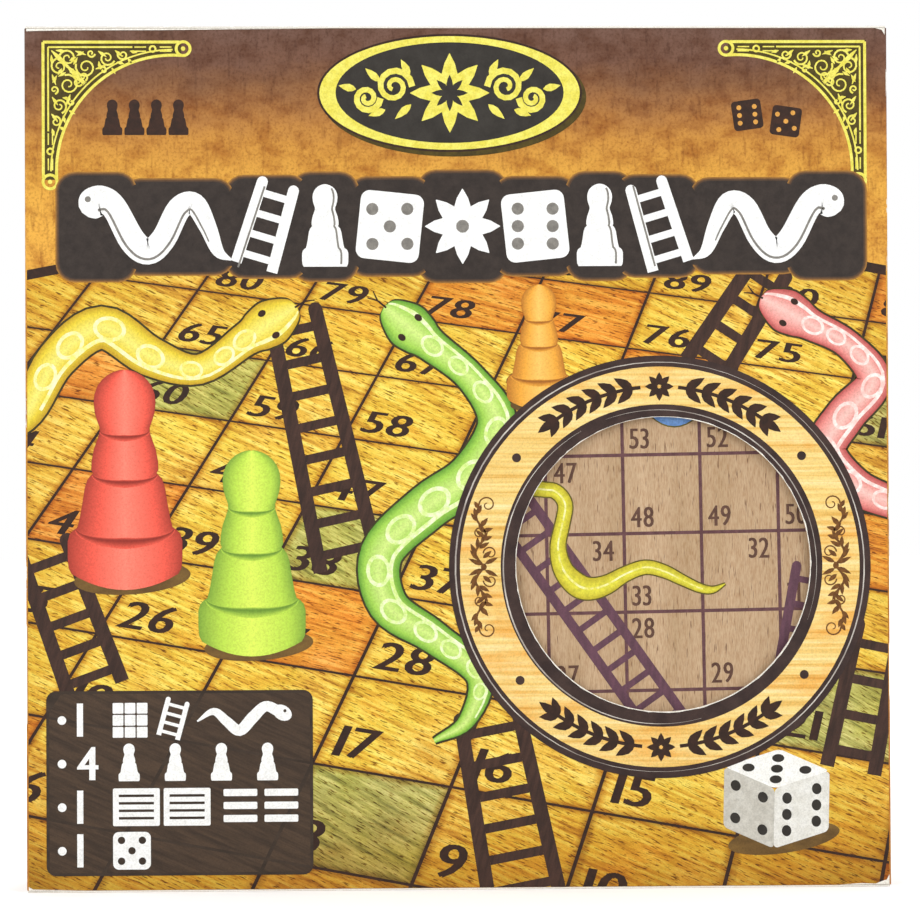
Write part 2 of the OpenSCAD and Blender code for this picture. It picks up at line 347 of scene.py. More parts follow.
@dataclass(frozen=True)
class KraftCorrugated(Finish):
    """Unbleached E-flute: brown liner with loose fibres, faintly ribbed by the flutes under it."""

    flute: float = 1.3

    def dress(self, nodes: Nodes) -> None:
        """Ribs the liner at the flutes' pitch, darkens its troughs as painted shade, and scatters fibres
        over it.

        Args:
            nodes: The material's nodes.
        """
        base = nodes.tinted(
            (0.35, 0.35, 2.2), (0.28, "#8f6a43"), (0.45, "#b48a5d"), (0.75, "#c49b6c"), detail=4)
        x = nodes.add("SeparateXYZ", (nodes.add("TexCoord", out="Object"),), "X")
        phase = nodes.add("Math", (x, 2 * math.pi / (self.flute * MM)), operation="MULTIPLY")
        rib = nodes.add("Math", (phase,), operation="SINE")
        # Painted shade: the liner's colour falls to 0.86 in the troughs of the same ribs that the bump
        # raises
        shade = nodes.add("MapRange", {"Value": rib, "From Min": -1.0, "To Min": 0.86})
        nodes.surface({
            "Base Color": nodes.add("Mix", {0: 1.0, 6: base, 7: shade}, 2, **DARKEN), "Roughness": 0.85,
            "Normal": nodes.add("Bump", {"Strength": 1.0, "Distance": 0.05 * MM, "Height": rib})})


@dataclass(frozen=True)
class Lacquer(Finish):
    """Turned hardwood dipped in coloured lacquer: glossy, with the lathe's rings faint under it."""

    colour: str
    deep: str

    def dress(self, nodes: Nodes) -> None:
        """Tints the coat where it lies thicker and rings it at the lathe's 0.35 mm feed.

        Args:
            nodes: The material's nodes.
        """
        pooled = nodes.tinted((2.5, 2.5, 1.5), (0.35, self.deep), (0.65, self.colour))
        rings = nodes.grain((20, 20, 0.35), detail=2)
        shade = nodes.add("ValToRGB", (rings,), stops=((0.3, "#e6e6e6"), (0.6, "#ffffff")))
        nodes.surface({
            "Base Color": nodes.add("Mix", {0: 1.0, 6: pooled, 7: shade}, 2, **DARKEN),
            "Roughness": 0.3, "Coat Weight": 0.35, "Coat Roughness": 0.12,
            "Normal": nodes.add("Bump", {"Strength": 1.0, "Distance": 0.015 * MM, "Height": rings})})


@dataclass(frozen=True)
class DiePlastic(Finish):
    """Moulded urea resin, tumbled smooth and slightly waxy, with black paint in the drilled pips."""

    middle: Waypoint
    half: float
    ball: float

    def dress(self, nodes: Nodes) -> None:
        """Paints what lies below the six faces and inside the ball that rounds them.

        Args:
            nodes: The material's nodes.
        """
        middle = [length * MM for length in self.middle]
        place = nodes.add("VectorMath", (nodes.add("TexCoord", out="Object"), middle), operation="SUBTRACT")
        sides, furthest = nodes.add("VectorMath", (place,), operation="ABSOLUTE"), 0.0
        for axis in "XYZ":
            side = nodes.add("SeparateXYZ", (sides,), axis)
            furthest = nodes.add("Math", (side, furthest), operation="MAXIMUM")
        radius = nodes.add("VectorMath", (place,), "Value", operation="LENGTH")
        below = nodes.add("Math", (furthest, (self.half - 0.03) * MM), operation="LESS_THAN")
        inside = nodes.add("Math", (radius, (self.ball - 0.08) * MM), operation="LESS_THAN")
        pip = nodes.add("Math", (below, inside), operation="MULTIPLY")
        resin = nodes.tinted((4, 4, 4), (0.3, "#e9e5d9"), (0.7, "#f3f0e7"))
        paint = nodes.tinted((0.6, 0.6, 0.6), (0.3, "#141414"), (0.7, "#232323"))
        nodes.surface({
            "Base Color": nodes.add("Mix", {0: pip, 6: resin, 7: paint}, 2, **COVER), "Roughness": 0.22,
            "Subsurface Weight": 0.1, "Subsurface Radius": (0.003, 0.0025, 0.002)})


@dataclass(frozen=True)
class LeafletPaper(Finish):
    """Uncoated 100 gram paper, matt and slightly cloudy, ruled with plain grey lines."""

    rule: float = 5.5
    line: float = 0.5

    def dress(self, nodes: Nodes) -> None:
        """Rules lines across the sheet.

        Args:
            nodes: The material's nodes.
        """
        z = nodes.add("SeparateXYZ", (nodes.add("TexCoord", out="Object"),), "Z")
        rows = nodes.add("Math", (z, 1 / (self.rule * MM)), operation="MULTIPLY")
        share = nodes.add("Math", (rows,), operation="FRACT")
        ruled = nodes.add("Math", (share, self.line / self.rule), operation="LESS_THAN")
        sheet = nodes.tinted((1.2, 1.2, 1.2), (0.3, "#efeae0"), (0.7, "#f8f5ee"))
        ink = nodes.tinted((0.6, 0.6, 0.6), (0.3, "#8f8f8f"), (0.7, "#a5a5a5"))
        base = nodes.add("Mix", {0: ruled, 6: sheet, 7: ink}, 2, **COVER)
        nodes.surface({"Base Color": base, "Roughness": 0.82})


def plain(name: str, light: str, deep: str, size: Waypoint = (2.2, 2.2, 2.2), **more: object) -> Ink:
    """An ink that mottles between two tones.

    Args:
        name: The material's name.
        light: Its lighter tone.
        deep: Its deeper tone.
        size: The mottle's grain in millimetres.
        **more: The ink's other fields.

    Returns:
        The finish.
    """
    return Ink(name, ((0.36, deep), (0.64, light)), size, **more)


def square_ink(name: str, colours: Sequence[str], size: Waypoint, turn: float) -> Ink:
    """An ink of the pictured squares: grained, clouded and flecked, and darker at the squares' edges.

    Args:
        name: The material's name.
        colours: Its four tones, darkest first.
        size: Its grain in millimetres.
        turn: The grain's turn in degrees.

    Returns:
        The finish.
    """
    edges = ((0.0, "#ffffff"), (0.5, "#ffffff"), (0.75, "#e2cdac"), (1.0, "#a98a64"))
    clouds = ((0.3, "#dcc294"), (0.42, "#fffdf4"), (0.56, "#f6f7cc"), (0.7, "#fff0cc"))
    flecks = ((0.33, "#7f6832"), (0.385, "#c6b07c"), (0.43, "#ffffff"))
    return Ink(name, tuple(zip((0.3, 0.41, 0.5, 0.64), colours)), size, turn, edges, clouds, fleck=flecks)


def shaded_ink(name: str, light: str, mid: str, dark: str, chalk: str = "#f2f2ee") -> Ink:
    """An ink for a round body, drawn light on one side and dark on the other.

    Args:
        name: The material's name.
        light: Colour of the lit part.
        mid: Colour of the body.
        dark: Colour at both edges.
        chalk: The deeper tone of its fine speckle.

    Returns:
        The finish.
    """
    return Ink(name, ((0.38, chalk), (0.6, "#ffffff")), (0.8, 0.8, 0.8),
               across=((0.0, dark), (0.16, mid), (0.5, light), (0.78, mid), (1.0, dark)))


class Inks(Enum):
    """The inks of the carton and the board. Each name says what it prints."""

    GOLD = square_ink("ink_gold_square", ("#b57f26", "#e2b040", "#f3ca54", "#ffe87c"), (15, 15, 1.2), 24)
    ORANGE = square_ink("ink_orange_square", ("#b0641f", "#db8a30", "#ee9f40", "#fcc063"), (16, 16, 1.3), 16)
    OLIVE = square_ink("ink_olive_square", ("#807e45", "#a5a35a", "#bdb96e", "#dcd78e"), (14, 14, 1.1), 30)
    GOLD_SPOT = plain("ink_gold_spot", "#dfa24c", "#cf9444")
    LINE = plain("ink_dark_brown_line", "#382116", "#28170e")
    TIMBER = plain("ink_ladder_brown", "#452e25", "#301f18", (1.4, 1.4, 9), turn=14)
    RIM = plain("ink_ring_dark", "#3f2e29", "#2d1e1b", (6, 6, 6))
    GLINT = plain("ink_ring_highlight", "#d6cfc5", "#8d827a", (16, 16, 16))
    PALE_WOOD = Ink(
        "ink_pale_wood_band", ((0.3, "#dba950"), (0.42, "#ecc570"), (0.55, "#f4d588"), (0.7, "#fbe4a8")),
        (52, 52, 1.3), cloud=((0.35, "#fadcb4"), (0.5, "#ffffff")), cloud_size=(26, 26, 8))
    BROWN = plain("ink_ornament_brown", "#7a4f22", "#573414", (1.2, 1.2, 1.2))
    YELLOW = plain("ink_filigree_yellow", "#f0e76e", "#e1d551")
    OLIVE_GAP = plain("ink_filigree_gap", "#4f4212", "#3c310c")
    HALO = Ink("ink_soft_brown_edge", ((0.38, "#ecebe7"), (0.6, "#ffffff")), (3, 3, 3),
               across=((0.0, "#362d28"), (0.5, "#362d28"), (0.75, "#64482f"), (1.0, "#b07d38")))
    CHARCOAL = plain("ink_charcoal", "#362d28", "#2a221e", (3, 3, 3))
    BLACK_BROWN = plain("ink_black_brown", "#34302b", "#28241f", (5, 5, 5))
    WHITE = plain("ink_white", "#fcfcfa", "#f1f1ee")
    GREY = plain("ink_grey_inline", "#8b8780", "#77736d")
    PANEL = plain("ink_panel_brown", "#3f3228", "#30251c", (11, 11, 4))
    GLIMPSE = plain("ink_panel_glimpse", "#4b3a2c", "#372a20", (13, 13, 1.2), turn=24)
    SHADE = plain("ink_cast_shadow", "#775a2c", "#5f4622", (9, 9, 4))
    CUT = plain("boxboard_cut_edge", "#f7f3ea", "#e5dfd2", (0.9, 0.9, 0.9), roughness=0.8)
    SNAKE_EDGE = plain("ink_snake_outline", "#3f381a", "#2d2710")
    BOARD_LINE = plain("board_ink_line", "#6a484a", "#5a3b3d", roughness=0.6)
    BOARD_NUMBER = plain("board_ink_number", "#63463a", "#543a2f", roughness=0.6)
    BOARD_LADDER = plain("board_ink_ladder", "#694654", "#593c47", (1.2, 1.2, 6), roughness=0.6)
    BOARD_EDGE = plain("board_ink_outline", "#6b6326", "#51491a", roughness=0.6)


# Shapes


def make_piece(name: str, mesh: bmesh.types.BMesh, finish: Finish, body: str) -> None:
    """Turns a finished mesh, placed in metres, into a piece that rides on a body.

    Args:
        name: The piece's name.
        mesh: Its mesh, which is freed.
        finish: Its finish.
        body: The CAD body that carries it.
    """
    data = bpy.data.meshes.new(name)
    mesh.to_mesh(data)
    mesh.free()
    data.materials.append(finish.material())
    piece = bpy.data.objects.new(name, data)
    bpy.context.scene.collection.objects.link(piece)
    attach(piece, body)
    log.info("%s: %d faces on %s", name, len(data.polygons), body)


def dress_node(name: str, finish: Finish) -> None:
    """Gives a CAD node its finish.

    Args:
        name: The node.
        finish: What covers all of it.
    """
    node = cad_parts[name]
    if not node.material_slots:
        node.data.materials.append(None)
    for slot in node.material_slots:
        slot.material = finish.material()
    log.info("%s: dressed as %s", name, finish.name)


def placing(centre: Point, size: Point, turn: float = 0.0) -> Matrix:
    """Where a unit shape goes.

    Args:
        centre: Its middle.
        size: What it is scaled by along x and y.
        turn: Its turn anticlockwise, in degrees.

    Returns:
        The transform.
    """
    spin = Matrix.Rotation(math.radians(turn), 4, "Z")
    return Matrix.Translation((*centre, 0.0)) @ spin @ Matrix.Diagonal((*size, 1.0, 1.0))


def polar(centre: Point, radius: float, angle: float) -> Point:
    """The point at this radius and this angle in degrees from a centre."""
    turn = math.radians(angle)
    return centre[0] + radius * math.cos(turn), centre[1] + radius * math.sin(turn)


def smooth(waypoints: Sequence[Waypoint], steps: int = 6) -> list[Waypoint]:
    """Runs a Catmull-Rom curve through waypoints of x, y and width.

    Args:
        waypoints: The points to pass through.
        steps: Points per stretch.

    Returns:
        The finer points.
    """
    points = [Vector(p) for p in waypoints]
    points = [2 * points[0] - points[1], *points, 2 * points[-1] - points[-2]]
    fine: list[Waypoint] = []
    for a, b, c, d in zip(points, points[1:], points[2:], points[3:]):
        for step in range(steps):
            t = step / steps
            square, cube = 2 * a - 5 * b + 4 * c - d, 3 * b - a - 3 * c + d
            fine.append(tuple(0.5 * (2 * b + (c - a) * t + square * t ** 2 + cube * t ** 3)))
    fine.append(tuple(points[-2]))
    return [(x, y, max(width, 0.02)) for x, y, width in fine]


def beside(path: Sequence[Waypoint], shift: float, share: float) -> list[Waypoint]:
    """A thinner path beside another one.

    Args:
        path: The first path.
        shift: How far the new one lies to its left, as a share of its width.
        share: The new width, as a share of the old one.

    Returns:
        The new path.
    """
    moved: list[Waypoint] = []
    for (x, y, width), (ax, ay, _) in zip(path, path[1:]):
        reach = shift * width / (math.hypot(ax - x, ay - y) or 1.0)
        moved.append((x - (ay - y) * reach, y + (ax - x) * reach, share * width))
    return moved


def arc(
    centre: Point, radius: float, start: float, end: float, width: float, steps: int = 24
) -> list[Waypoint]:
    """Waypoints along an arc.

    Args:
        centre: The arc's centre.
        radius: Its radius.
        start: Its first angle, in degrees.
        end: Its last angle.
        width: The width at every point.
        steps: How many stretches it has.

    Returns:
        The waypoints.
    """
    angles = (start + (end - start) * i / steps for i in range(steps + 1))
    return [(*polar(centre, radius, angle), width) for angle in angles]


def scroll(centre: Point, radius: float, start: float, sweep: float, width: float) -> list[Waypoint]:
    """Waypoints of a spiral that winds in to its eye and thins on the way.

    Args:
        centre: The eye.
        radius: The outer radius.
        start: The angle of the outer end, in degrees.
        sweep: How far it winds, in degrees, negative for clockwise.
        width: The width at the outer end.

    Returns:
        The waypoints.
    """
    path: list[Waypoint] = []
    for i in range(SCROLL_STEPS + 1):
        share = i / SCROLL_STEPS
        point = polar(centre, radius * (1 - 0.82 * share), start + sweep * share)
        path.append((*point, width * (1 - 0.35 * share)))
    return path


@dataclass(frozen=True)
class PrintedFace:
    """A flat face that carries print, with its own frame in millimetres."""

    name: str
    body: str
    slot: str
    origin: Waypoint
    right: Waypoint
    up: Waypoint = (0.0, 0.0, 1.0)

    def matrix(self, layer: float) -> Matrix:
        """Turns the face's frame into metres.

        Args:
            layer: A layer of print.

        Returns:
            The transform to that layer.
        """
        right, up = Vector(self.right), Vector(self.up)
        out = right.cross(up)
        turn = Matrix((right, up, out)).transposed().to_4x4()
        return Matrix.Scale(MM, 4) @ Matrix.Translation(Vector(self.origin) + out * layer * LAYER) @ turn


class Numerals:
    """Reusable flat meshes of the ten digits, one unit high, from Blender's own font."""

    def __init__(self, squeeze: float, weight: float) -> None:
        """Makes the ten digits.

        Args:
            squeeze: Their width as a share of the font's.
            weight: How far apart each digit is struck twice, to make it bolder, as a share of its height.
        """
        self.weight = weight
        self.digits: dict[str, tuple[bpy.types.Mesh, float]] = {}
        for digit in "0123456789":
            curve = bpy.data.curves.new("digit", "FONT")
            curve.body, curve.resolution_u = digit, 3
            text = bpy.data.objects.new("digit", curve)
            bpy.context.scene.collection.objects.link(text)
            bpy.context.view_layer.update()
            made = text.evaluated_get(bpy.context.evaluated_depsgraph_get())
            mesh = bpy.data.meshes.new_from_object(made)
            low = [min(v.co[i] for v in mesh.vertices) for i in (0, 1)]
            high = [max(v.co[i] for v in mesh.vertices) for i in (0, 1)]
            size = high[1] - low[1]
            shift = Matrix.Translation((-low[0], -low[1], 0.0))
            mesh.transform(Matrix.Diagonal((squeeze / size, 1 / size, 1.0, 1.0)) @ shift)
            self.digits[digit] = mesh, squeeze * (high[0] - low[0]) / size
            bpy.data.objects.remove(text)


class Artwork:
    """Flat printed shapes of one ink, drawn in a face's own frame and printed as one piece."""

    def __init__(self, warp: Callable[[Vector], Vector] | None = None) -> None:
        """Starts an empty drawing.

        Args:
            warp: Moves each drawn point, such as into perspective.
        """
        self.mesh = bmesh.new()
        self.across = self.mesh.verts.layers.float.new("across")
        self.warp = warp
        self.count = 0

    def drawn(self, verts: Iterable[bmesh.types.BMVert | bpy.types.MeshVertex]) -> None:
        """Warps a shape's points, and lifts it a hair above the one before, off its plane.

        Args:
            verts: The shape's points.
        """
        self.count += 1
        for vert in verts:
            if self.warp:
                vert.co = self.warp(vert.co)
            vert.co.z = LIFT * (self.count % LIFTS)

    def loop(
        self, centre: Point, size: Point, turn: float, segments: int, filled: bool
    ) -> list[bmesh.types.BMVert]:
        """Adds an ellipse of its own points.

        Args:
            centre: Its middle.
            size: Its semi-axes.
            turn: Its turn in degrees.
            segments: How many sides it has.
            filled: Whether it has a face.

        Returns:
            The points.
        """
        made = bmesh.ops.create_circle(
            self.mesh, cap_ends=filled, segments=segments, radius=1.0, matrix=placing(centre, size, turn))
        return made["verts"]

    def disc(self, centre: Point, size: Point, turn: float = 0.0, segments: int = 24) -> None:
        """Draws a filled ellipse, given by its semi-axes, its turn in degrees and how many sides it has."""
        self.drawn(self.loop(centre, size, turn, segments, True))

    def dot(self, centre: Point, radius: float, segments: int = 12) -> None:
        """Draws a filled circle."""
        self.disc(centre, (radius, radius), 0, segments)

    def annulus(
        self, centre: Point, inner: Point, outer: Point, segments: int = 96, turn: float = 0.0
    ) -> None:
        """Draws a ring between two ellipses.

        Args:
            centre: Their middle.
            inner: Semi-axes of the inner one.
            outer: Semi-axes of the outer one.
            segments: How many sides they have.
            turn: Their turn in degrees.
        """
        verts = [vert for size in (inner, outer) for vert in self.loop(centre, size, turn, segments, False)]
        bmesh.ops.bridge_loops(self.mesh, edges=list({edge for vert in verts for edge in vert.link_edges}))
        self.drawn(verts)

    def ring(self, centre: Point, inner: float, outer: float, segments: int = 96) -> None:
        """Draws a ring between two circles."""
        self.annulus(centre, (inner, inner), (outer, outer), segments)

    def polygon(self, points: Iterable[Point]) -> None:
        """Draws a filled outline.

        Args:
            points: Its corners in turn.
        """
        verts = [self.mesh.verts.new((x, y, 0.0)) for x, y in points]
        self.mesh.faces.new(verts)
        self.drawn(verts)

    def tile(
        self, centre: Point, size: Point, corner: float = 0.0, turn: float = 0.0, margin: float = 0.0
    ) -> None:
        """Draws a rectangle about its middle.

        Args:
            centre: Its middle.
            size: Its width and height.
            corner: Radius of its corners.
            turn: Its turn in degrees.
            margin: Width of its shaded edge.
        """
        made = bmesh.ops.create_grid(
            self.mesh, x_segments=1, y_segments=1, size=0.5, matrix=placing(centre, size, turn))
        verts = made["verts"]
        if corner:
            made = bmesh.ops.bevel(self.mesh, geom=verts, offset=corner, segments=5, profile=0.5,
                                   affect="VERTICES", material=-1, clamp_overlap=True)
            verts = made["verts"]
        if margin:
            outer = set(verts)
            faces = list(verts[0].link_faces)
            bmesh.ops.inset_individual(self.mesh, faces=faces, thickness=margin, use_even_offset=True)
            verts = list({other for vert in outer for edge in vert.link_edges for other in edge.verts})
            for vert in verts:
                vert[self.across] = float(vert in outer)
        self.drawn(verts)

    def panel(self, low: Point, high: Point, corner: float = 0.0, margin: float = 0.0) -> None:
        """Draws an upright rectangle, given by two corners."""
        centre = ((low[0] + high[0]) / 2, (low[1] + high[1]) / 2)
        self.tile(centre, (high[0] - low[0], high[1] - low[1]), corner, margin=margin)

    def band(
        self, waypoints: Sequence[Waypoint], columns: int = 1, sag: float = 0.0, extra: float = 0.0
    ) -> None:
        """Draws a band of changing width along a path.

        Args:
            waypoints: The path's points, each with the band's width there.
            columns: How many faces it is wide.
            sag: How far its rows bow backwards, as a share of half the width.
            extra: What is added to every width.
        """
        path = [Vector((x, y, 0.0)) for x, y, _ in waypoints]
        last = len(path) - 1
        made = bmesh.ops.create_grid(self.mesh, x_segments=last, y_segments=columns, size=1.0)
        for vert in made["verts"]:
            place, side = round((vert.co.x + 1) / 2 * last), vert.co.y
            ahead = (path[min(place + 1, last)] - path[max(place - 1, 0)]).normalized()
            half = (waypoints[place][2] + extra) / 2
            beyond = Vector((-ahead.y, ahead.x, 0.0)) * side - ahead * sag * (1 - side ** 2)
            vert.co = path[place] + beyond * half
            vert[self.across] = side
        self.drawn(made["verts"])

    def leaf(self, root: Point, length: float, width: float, turn: float) -> None:
        """Draws a pointed leaf from its root, which points this way in degrees."""
        shares = ((0.0, 0.1), (0.18, 0.72), (0.42, 1.0), (0.72, 0.66), (1.0, 0.04))
        self.band([(*polar(root, length * t, turn), width * w) for t, w in shares])

    def ladder(self, foot: Point, top: Point, gaps: Point, rail: float, pitch: float) -> None:
        """Draws a ladder.

        Args:
            foot: Middle of its foot.
            top: Middle of its top.
            gaps: Distance between the middles of its rails, at the foot and at the top.
            rail: Width of a rail.
            pitch: Distance between its rungs.
        """
        start, end = Vector(foot), Vector(top)
        way = (end - start).normalized()
        side = Vector((-way.y, way.x)) / 2
        for sign in (-1, 1):
            low, high = start + sign * side * gaps[0], end + sign * side * gaps[1]
            self.band([(*low, rail), (*high, rail)])
            self.dot(tuple(high), rail / 2)
        count = int((end - start).length / pitch)
        for i in range(count):
            share = (i + 0.5) / count
            half = side * (gaps[0] + (gaps[1] - gaps[0]) * share - rail + 0.03)
            middle = start.lerp(end, share)
            self.band([(*(middle - half), rail * 0.66), (*(middle + half), rail * 0.66)])

    def number(self, value: int, corner: Point, height: float, font: Numerals, turn: float = 0.0) -> None:
        """Draws a number.

        Args:
            value: The number.
            corner: Lower left corner of the first digit.
            height: Its digits' height.
            font: The digits' shapes.
            turn: The turn of their line, in degrees.
        """
        x = 0.0
        for digit in str(value):
            shape, width = font.digits[digit]
            for strike in (0.0, font.weight):
                mesh = shape.copy()
                shift = Matrix.Translation((x + strike, 0.0, 0.0))
                mesh.transform(placing(corner, (height, height), turn) @ shift)
                self.drawn(mesh.vertices)
                self.mesh.from_mesh(mesh)
                bpy.data.meshes.remove(mesh)
            x += width + font.weight + 0.08

    def keep_below(self, point: Point, normal: Point) -> None:
        """Cuts off what lies beyond a line.

        Args:
            point: A point on the line.
            normal: The way from the line to what is cut off.
        """
        bmesh.ops.bisect_plane(
            self.mesh, geom=[*self.mesh.verts, *self.mesh.edges, *self.mesh.faces], dist=1e-5,
            plane_co=(*point, 0.0), plane_no=(*normal, 0.0), clear_outer=True)

    def trim(self, low: Point, high: Point) -> None:
        """Cuts the drawing to a rectangle, given by two corners."""
        for point, normal in ((low, (-1, 0)), (low, (0, -1)), (high, (1, 0)), (high, (0, 1))):
            self.keep_below(point, normal)

    def cut_out(self, centre: Point, radius: float, sides: int = 24) -> None:
        """Cuts a round hole with flat sides.

        Args:
            centre: Its middle.
            radius: Radius to its flats.
            sides: How many it has.
        """
        middle = Vector((*centre, 0.0))

        def near(face: bmesh.types.BMFace) -> bool:
            """Compares a face's box with the hole's.

            Args:
                face: The face.

            Returns:
                Whether the two meet.
            """
            return all(
                min(v.co[i] for v in face.verts) < middle[i] + radius
                and max(v.co[i] for v in face.verts) > middle[i] - radius for i in (0, 1))

        for k in range(sides):
            faces = [face for face in self.mesh.faces if near(face)]
            edges = {edge for face in faces for edge in face.edges}
            verts = {vert for face in faces for vert in face.verts}
            point = Vector((*polar(centre, radius, 360 * k / sides), 0.0))
            bmesh.ops.bisect_plane(
                self.mesh, geom=[*verts, *edges, *faces], dist=1e-5, plane_co=point,
                plane_no=point - middle)
        inside = [f for f in self.mesh.faces if (f.calc_center_median() - middle).length < radius]
        bmesh.ops.delete(self.mesh, geom=inside, context="FACES")

    def printed(self, name: str, face: PrintedFace, layer: float, ink: Ink | Inks) -> None:
        """Prints the drawing on a face, unless nothing is left of it.

        Args:
            name: What it is, after the face's name.
            face: The face.
            layer: Which layer of print it is.
            ink: Its ink.
        """
        if not self.mesh.faces:
            self.mesh.free()
            return
        self.mesh.normal_update()
        for flat in self.mesh.faces:
            if flat.normal.z < 0:
                flat.normal_flip()
        bmesh.ops.transform(self.mesh, matrix=face.matrix(layer), verts=self.mesh.verts)
        finish = ink.value if isinstance(ink, Inks) else ink
        make_piece(f"{face.name}_{name}", self.mesh, finish, face.body)


Fit = Callable[[Artwork], None]
Row = tuple[Artwork, str, float, Ink | Inks]


def sheets(count: int, warp: Callable[[Vector], Vector] | None = None) -> list[Artwork]:
    """Starts this many empty drawings."""
    return [Artwork(warp) for _ in range(count)]


def print_rows(face: PrintedFace, rows: Iterable[Row], base: float = 0.0, fit: Fit | None = None) -> None:
    """Prints several drawings.

    Args:
        face: The face that they are on.
        rows: Each drawing with its name, layer and ink.
        base: The layer that theirs are counted from.
        fit: Cuts a drawing to the face.
    """
    for art, name, layer, ink in rows:
        if fit:
            fit(art)
        art.printed(name, face, base + layer, ink)


# Motifs that several faces share

# Height and half width of a pawn's outline and of its creases, as shares of its height and base
PAWN_SHARES = (
    (0.0, 0.93), (0.03, 0.985), (0.08, 1.0), (0.16, 1.0), (0.195, 0.965), (0.215, 0.9), (0.228, 0.83),
    (0.27, 0.79), (0.34, 0.745), (0.42, 0.7), (0.46, 0.655), (0.48, 0.6), (0.492, 0.555), (0.51, 0.585),
    (0.55, 0.58), (0.61, 0.54), (0.66, 0.475), (0.695, 0.435), (0.72, 0.44), (0.75, 0.48), (0.79, 0.522),
    (0.84, 0.54), (0.88, 0.525), (0.92, 0.473), (0.95, 0.395), (0.972, 0.305), (0.988, 0.2), (0.997, 0.1),
    (1.0, 0.03),
)
PAWN_CREASES = ((0.222, 0.86), (0.488, 0.565), (0.7, 0.43))
PAWN_WIDTH = 0.56
PIPS = {
    4: ((-1, -1), (1, 1), (-1, 1), (1, -1)),
    5: ((0, 0), (-1, -1), (1, 1), (-1, 1), (1, -1)),
    6: ((-1, -1), (-1, 0), (-1, 1), (1, -1), (1, 0), (1, 1)),
}

# Which tone each square of a pictured board takes, gold most often
TONES = (0, 0, 1, 0, 0, 0, 2, 0, 0, 1, 0, 0, 2)
TONE_PRINT = (("gold_squares", Inks.GOLD), ("orange_squares", Inks.ORANGE), ("olive_squares", Inks.OLIVE))

# Lit side, body, edge and marks of the printed snakes
GREEN_SNAKE = ("#d6f08a", "#a4d454", "#5f9a34", "#f2fbd0")
YELLOW_SNAKE = ("#f7ec7a", "#ecd23c", "#c39a26", "#fbf7c4")


def snaked(row: int, column: int) -> int:
    """The number of a square on a board whose rows run to and fro."""
    return 10 * row + (column if row % 2 == 0 else 9 - column) + 1


def draw_pawn(art: Artwork, foot: Point, height: float, sag: float = 0.0, columns: int = 1) -> None:
    """Draws a pawn.

    Args:
        art: What it is drawn on.
        foot: Middle of its foot.
        height: Its height.
        sag: How far its rows bow, for one seen from above.
        columns: How many faces it is wide.
    """
    x, y = foot
    art.band([(x, y + height * t, PAWN_WIDTH * height * w) for t, w in PAWN_SHARES], columns, sag)


def draw_pips(
    art: Artwork, centre: Point, spread: Sequence[Point], count: int, size: Point, turn: float = 0.0
) -> None:
    """Draws one face's pips.

    Args:
        art: What they are drawn on.
        centre: Middle of the face.
        spread: The face's two directions, each from its middle to its outer pips.
        count: How many pips.
        size: A pip's semi-axes.
        turn: A pip's turn in degrees.
    """
    (ax, ay), (bx, by) = spread
    for a, b in PIPS[count]:
        art.disc((centre[0] + a * ax + b * bx, centre[1] + a * ay + b * by), size, turn, 16)


def draw_rosette(art: Artwork, centre: Point, radius: float, width: float = 0.4) -> None:
    """Draws a flower of eight pointed petals.

    Args:
        art: What it is drawn on.
        centre: Its middle.
        radius: Length of a petal.
        width: A petal's width as a share of its length.
    """
    for turn in range(90, 450, 45):
        art.leaf(polar(centre, radius * 0.12, turn), radius * 0.88, radius * width, turn)


def snake_head(waypoints: Sequence[Waypoint]) -> tuple[float, list[Waypoint]]:
    """Shapes a snake's head.

    Args:
        waypoints: The body's waypoints, from the neck on.

    Returns:
        The way that the head points, in degrees, and its waypoints, snout first.
    """
    (x, y, width), (ax, ay, _) = waypoints[:2]
    turn = math.degrees(math.atan2(y - ay, x - ax))
    shares = ((1.92, 0.1), (1.82, 0.62), (1.5, 1.06), (1.02, 1.4), (0.5, 1.26))
    return turn, [(*polar((x, y), width * along, turn), width * w) for along, w in shares]


@dataclass(frozen=True)
class Snake:
    """A plain printed snake: a tapering body along waypoints of x, y and width, head first."""

    name: str
    waypoints: Sequence[Waypoint]
    colours: tuple[str, str, str, str]

    def draw(self, face: PrintedFace, layer: float, edge: Artwork, eyes: Artwork, fit: Fit | None) -> None:
        """Prints the body and its spots, and adds to the drawings that all snakes share.

        Args:
            face: The face it is on.
            layer: The layer of its body.
            edge: Drawing of all the dark outlines.
            eyes: Drawing of all the eyes and tongues.
            fit: Cuts a drawing to the face.
        """
        x, y, width = self.waypoints[0]
        turn, head = snake_head(self.waypoints)
        path = smooth((*head, *self.waypoints))
        body, marks, gleam = sheets(3)
        edge.band(path, 6, extra=1.3)
        body.band(path, 6)
        run = 0.0
        for (px, py, pw), (qx, qy, _) in zip(path[20:-8], path[21:]):
            run += math.hypot(qx - px, qy - py)
            if run > pw * 0.98 and pw > 3:
                run = 0.0
                way = math.degrees(math.atan2(qy - py, qx - px))
                marks.annulus((px, py), (pw * 0.3, pw * 0.21), (pw * 0.4, pw * 0.3), 18, way)
        gleam.band(beside(path[4:-6], 0.3, 0.1))
        root = polar((x, y), width * 2.2, turn)
        for side in (-1, 1):
            eyes.disc(polar((x, y), width * 0.98, turn + side * 24), (width * 0.13, width * 0.1), turn, 14)
            eyes.band([(*root, 0.5), (*polar(root, width * 0.32, turn + side * 25), 0.3)])
        eyes.band([(*polar((x, y), width * 1.85, turn), 0.6), (*polar((x, y), width * 2.22, turn), 0.5)])
        light, mid, dark, pale = self.colours
        mark_ink = plain(f"ink_{self.name}_marks", pale, light)
        print_rows(face, (
            (body, f"{self.name}_body", 0, shaded_ink(f"ink_{self.name}", light, mid, dark)),
            (marks, f"{self.name}_marks", 1, mark_ink), (gleam, f"{self.name}_gleam", 2, mark_ink),
        ), layer, fit)


